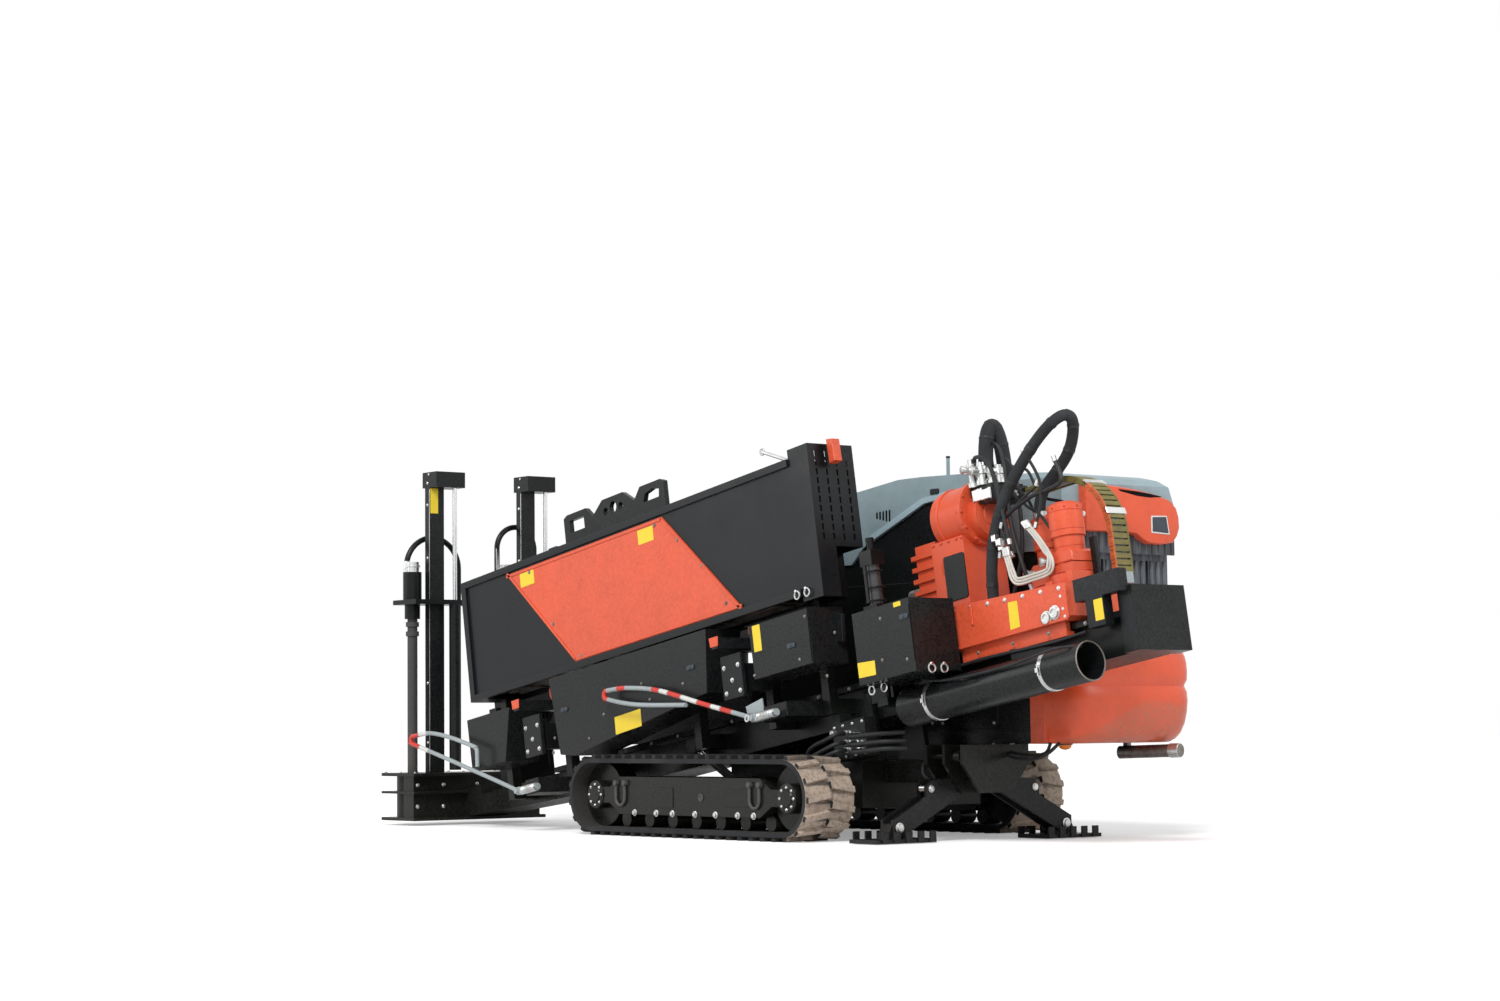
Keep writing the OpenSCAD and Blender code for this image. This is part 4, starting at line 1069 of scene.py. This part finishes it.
for x, z in ((64, -178), (73, -227), (80, -267), (-4, -199), (-28, -243), (-21, -283)):
    piece.lathe((x, 508, z), "y", [(0, 17), (12, 17), (13, 13), (24, 13), (25, 16), (40, 16), (41, 12)], 6)
for x in (-40, 40, 120, 190):
    piece.bolt((x, 510, -130), "y", 7)
    piece.bolt((x, 510, -296), "y", 7)
piece.rod((180, 505, -160), (180, 545, -160), 15)
piece.done()
piece = drill_frame("lubricator", "brass")
piece.lathe((LUBE_X, LUBE_Y, 640), "z", [(0, 40), (6, 40), (10, 34), (18, 34), (24, 16), (34, 14)])
piece.lathe((LUBE_X, LUBE_Y, 426), "-z", [(0, 46), (8, 46), (12, 30), (24, 18), (34, 17)])
piece.done()
piece = drill_frame("lubricator_bracket", "black")
for z in (450, 520, 606):
    piece.ring((LUBE_X, LUBE_Y, z), "z", 56, 5)
piece.box((LUBE_X - 10, LUBE_X + 10), (612, 622), (440, 640), 2)
piece.done()

# Wrenches and anchor motors
piece = drill_frame("wrench_bolts", "zinc")
for x in (2780, 2900):
    for z in (270, 170):
        piece.bolt((x, SIDE_Y, z), "y", 10)
piece.done()
for side, y in (("left", 648), ("right", -50)):
    piece = Piece(f"anchor_drive_{side}_body", LEVEL, f"anchor_motor_{side}", "zinc")
    piece.lathe((AUGER_X, y, 1640), "z", [(0, 46), (4, 50), (12, 50), (16, 40), (24, 38), (25, 2)], 28)
    for dx, dy in around(6, 34):
        piece.bolt((AUGER_X + dx, y + dy, 1651), "z", 6)
    piece.done()

# Track frames: hubs, roller bolts and shackles
for side, name in ((1, "left"), (-1, "right")):
    face = side * (BELT_Y + 120)
    out = (0, side, 0)
    piece = chassis(f"track_hubs_{name}", "frame")
    for x in (-HALF_RUN, HALF_RUN):
        piece.lathe((x, face, TRACK_MID), out,
                    [(0, 78), (5, 78), (7, 70), (7, 48.36), (13, 43.68), (13, 2)], 32)
    piece.panel(rect(133, 161, 293, 274), face, face + 4 * side, r=12, c=1)
    piece.panel(rect(-560, 175, -330, 268), face, face + 3 * side, r=12, c=1)
    piece.done()
    piece = chassis(f"track_bolts_{name}", "zinc")
    for x in (497, 291, 140, -68, -253, -450, -590):
        piece.lathe((x, face, 130), out, [(0, 19), (3, 19), (5, 13), (12, 12), (13, 2)], 16)
    for x in (-HALF_RUN, HALF_RUN):
        for dx, dz in around(8, 58):
            piece.bolt((x + dx, face + 7 * side, TRACK_MID + dz), out, 6)
    piece.done()
    piece = chassis(f"track_shackles_{name}", "iron")
    for x in (625, -606):
        y = face + 9 * side
        bow = [(x - dx, y, 212 - dz) for dx, dz in around(24, 42)[:13]]
        piece.tube([(x - 42, y, 292)] + bow + [(x + 42, y, 292)], 9, 10)
        for dx in (-42, 42):
            piece.lathe((x + dx, face, 294), out, [(0, 17), (20, 17), (22, 14)], 16)
    piece.lathe((-122, face, 222), out, [(0, 22), (5, 22), (6, 14), (2, 12), (2, 1)], 20)
    piece.done()

# Stabilizers: pin heads at the pad, the rod's eye and the arm's pivot
for side, name, x in ((1, "left", -1430), (-1, "right", -1570)):
    piece = Piece(f"stabilizer_{name}_body", LEVEL, f"stabilizer_pins_{name}", "zinc")
    for end, way in ((x - 50, "-x"), (x + 50, "x")):
        for y, z, profile, n in (
            (520, 80, [(0, 27), (6, 27), (8, 20), (16, 19), (17, 2)], 20),
            (300, 275, [(0, 20), (5, 20), (6, 15), (10, 14), (11, 2)], 18),
            (60, 300, [(0, 26), (5, 26), (7, 18), (12, 17), (13, 2)], 20),
        ):
            piece.lathe((end, STABILIZER_Y + side * y, z), way, profile, n)
    piece.done()

# Masts and anchor base
piece = level_frame("mast_trim", "zinc")
level_frame("mast_stickers", "yellow").prism(
    rect(524, 1985, 582, 2146), 3139, 3141, "x", 0.5).done()
for y in (MAST_Y - MAST_SPACING, MAST_Y):
    for z in (2180, 2040, 1700, 900, 520):
        piece.bolt((3168, y, z), "y", 7)
    piece.panel(rect(3143, 340, 3149, 2140), y, y + 1.5, r=1, c=0.4)
    for end, way in ((y, "y"), (y - 105, "-y")):
        piece.lathe((3150, end, 2235), way, [(0, 8), (5, 8), (6, 5)], 12)
piece.done()
piece = level_frame("anchor_base_bolts", "zinc")
for x in (3020, 3200, 3380):
    for y in (-180, 60, 300, 540, 770):
        piece.bolt((x, y, 330), "z", 9)
for y in (-150, 50, 300, 550, 740):
    piece.bolt((3040, y, 120), "-x", 10)
    piece.bolt((3040, y, 255), "-x", 10)
piece.done()

# Camera placed as in the reference view: radians, metres, and a focal length in pixels of the photograph
YAW, PITCH, ROLL = -0.658, 0.076, -0.010
EYE = (-12.987 + SHIFT, 10.457, 0.615)
FOCAL_PIXELS, PHOTO_WIDTH = 2941.4, 1500
SENSOR = 36
forward = Vector((math.cos(YAW) * math.cos(PITCH), math.sin(YAW) * math.cos(PITCH), math.sin(PITCH)))
right = Vector((math.sin(YAW), -math.cos(YAW), 0))
up = right.cross(forward)
rolled_right = math.cos(ROLL) * right + math.sin(ROLL) * up
rolled_up = -math.sin(ROLL) * right + math.cos(ROLL) * up
camera = linked("camera", bpy.data.cameras.new("camera"))
turn = Matrix((rolled_right, rolled_up, -forward)).transposed().to_4x4()
camera.matrix_world = Matrix.Translation(EYE) @ turn
camera.data.sensor_width = SENSOR
camera.data.lens = FOCAL_PIXELS / PHOTO_WIDTH * SENSOR
camera.data.clip_end = 200
bpy.context.scene.camera = camera

# Studio: pale floor, white seen behind it, and soft light
floor = linked("floor", bpy.data.meshes.new("floor"))
floor.data.from_pydata([(-60, -60, 0), (60, -60, 0), (60, 60, 0), (-60, 60, 0)], [], [(0, 1, 2, 3)])
ground = Coat("floor")
for key, value in (("Base Color", (0.92, 0.92, 0.92, 1)), ("Roughness", 0.9), ("Specular IOR Level", 0.1),
                   ("Emission Color", (1, 1, 1, 1))):
    ground.bsdf.inputs[key].default_value = value
seen = ground.add("ShaderNodeLightPath").outputs["Is Camera Ray"]
ground.join(ground.times(seen, 0.3), ground.bsdf.inputs["Emission Strength"])
floor.data.materials.append(ground.mat)
floor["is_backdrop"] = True

world = bpy.data.worlds.new("world")
bpy.context.scene.world = world
sky = Nodes(world)
glow = sky.tree.nodes["Background"]
glow.inputs["Color"].default_value = (1, 1, 1, 1)
rays = sky.add("ShaderNodeLightPath").outputs
seen = sky.math("MAXIMUM", rays["Is Camera Ray"], rays["Is Glossy Ray"])
seen = sky.math("MAXIMUM", seen, rays["Is Transmission Ray"])
sky.join(sky.ramp(seen, 0.0, 1.0, 0.5, 1.0), glow.inputs["Strength"])


def lamp(name, place, target, size, power):
    """A rectangular lamp that faces a target."""
    data = bpy.data.lights.new(name, "AREA")
    data.shape = "RECTANGLE"
    data.size, data.size_y = size
    data.energy = power
    obj = linked(name, data)
    obj.location = place
    obj.rotation_euler = (Vector(target) - Vector(place)).to_track_quat("-Z", "Y").to_euler()
    obj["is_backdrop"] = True


lamp("key", (-7, 9, 9), (-0.5, 0, 1), (5, 5), 420)
lamp("rear", (-9, -3, 6), (-1.5, -0.3, 1.2), (4, 4), 160)
lamp("fill", (6, 8, 4), (1, 0, 1), (5, 4), 120)
sun = linked("sun", bpy.data.lights.new("sun", "SUN"))
sun.data.energy = 1.5
sun.data.angle = math.radians(14)
sun.rotation_euler = Vector((7, -9, -11)).to_track_quat("-Z", "Y").to_euler()
sun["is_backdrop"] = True
bpy.context.scene.view_settings.view_transform = "Standard"

low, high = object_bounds()
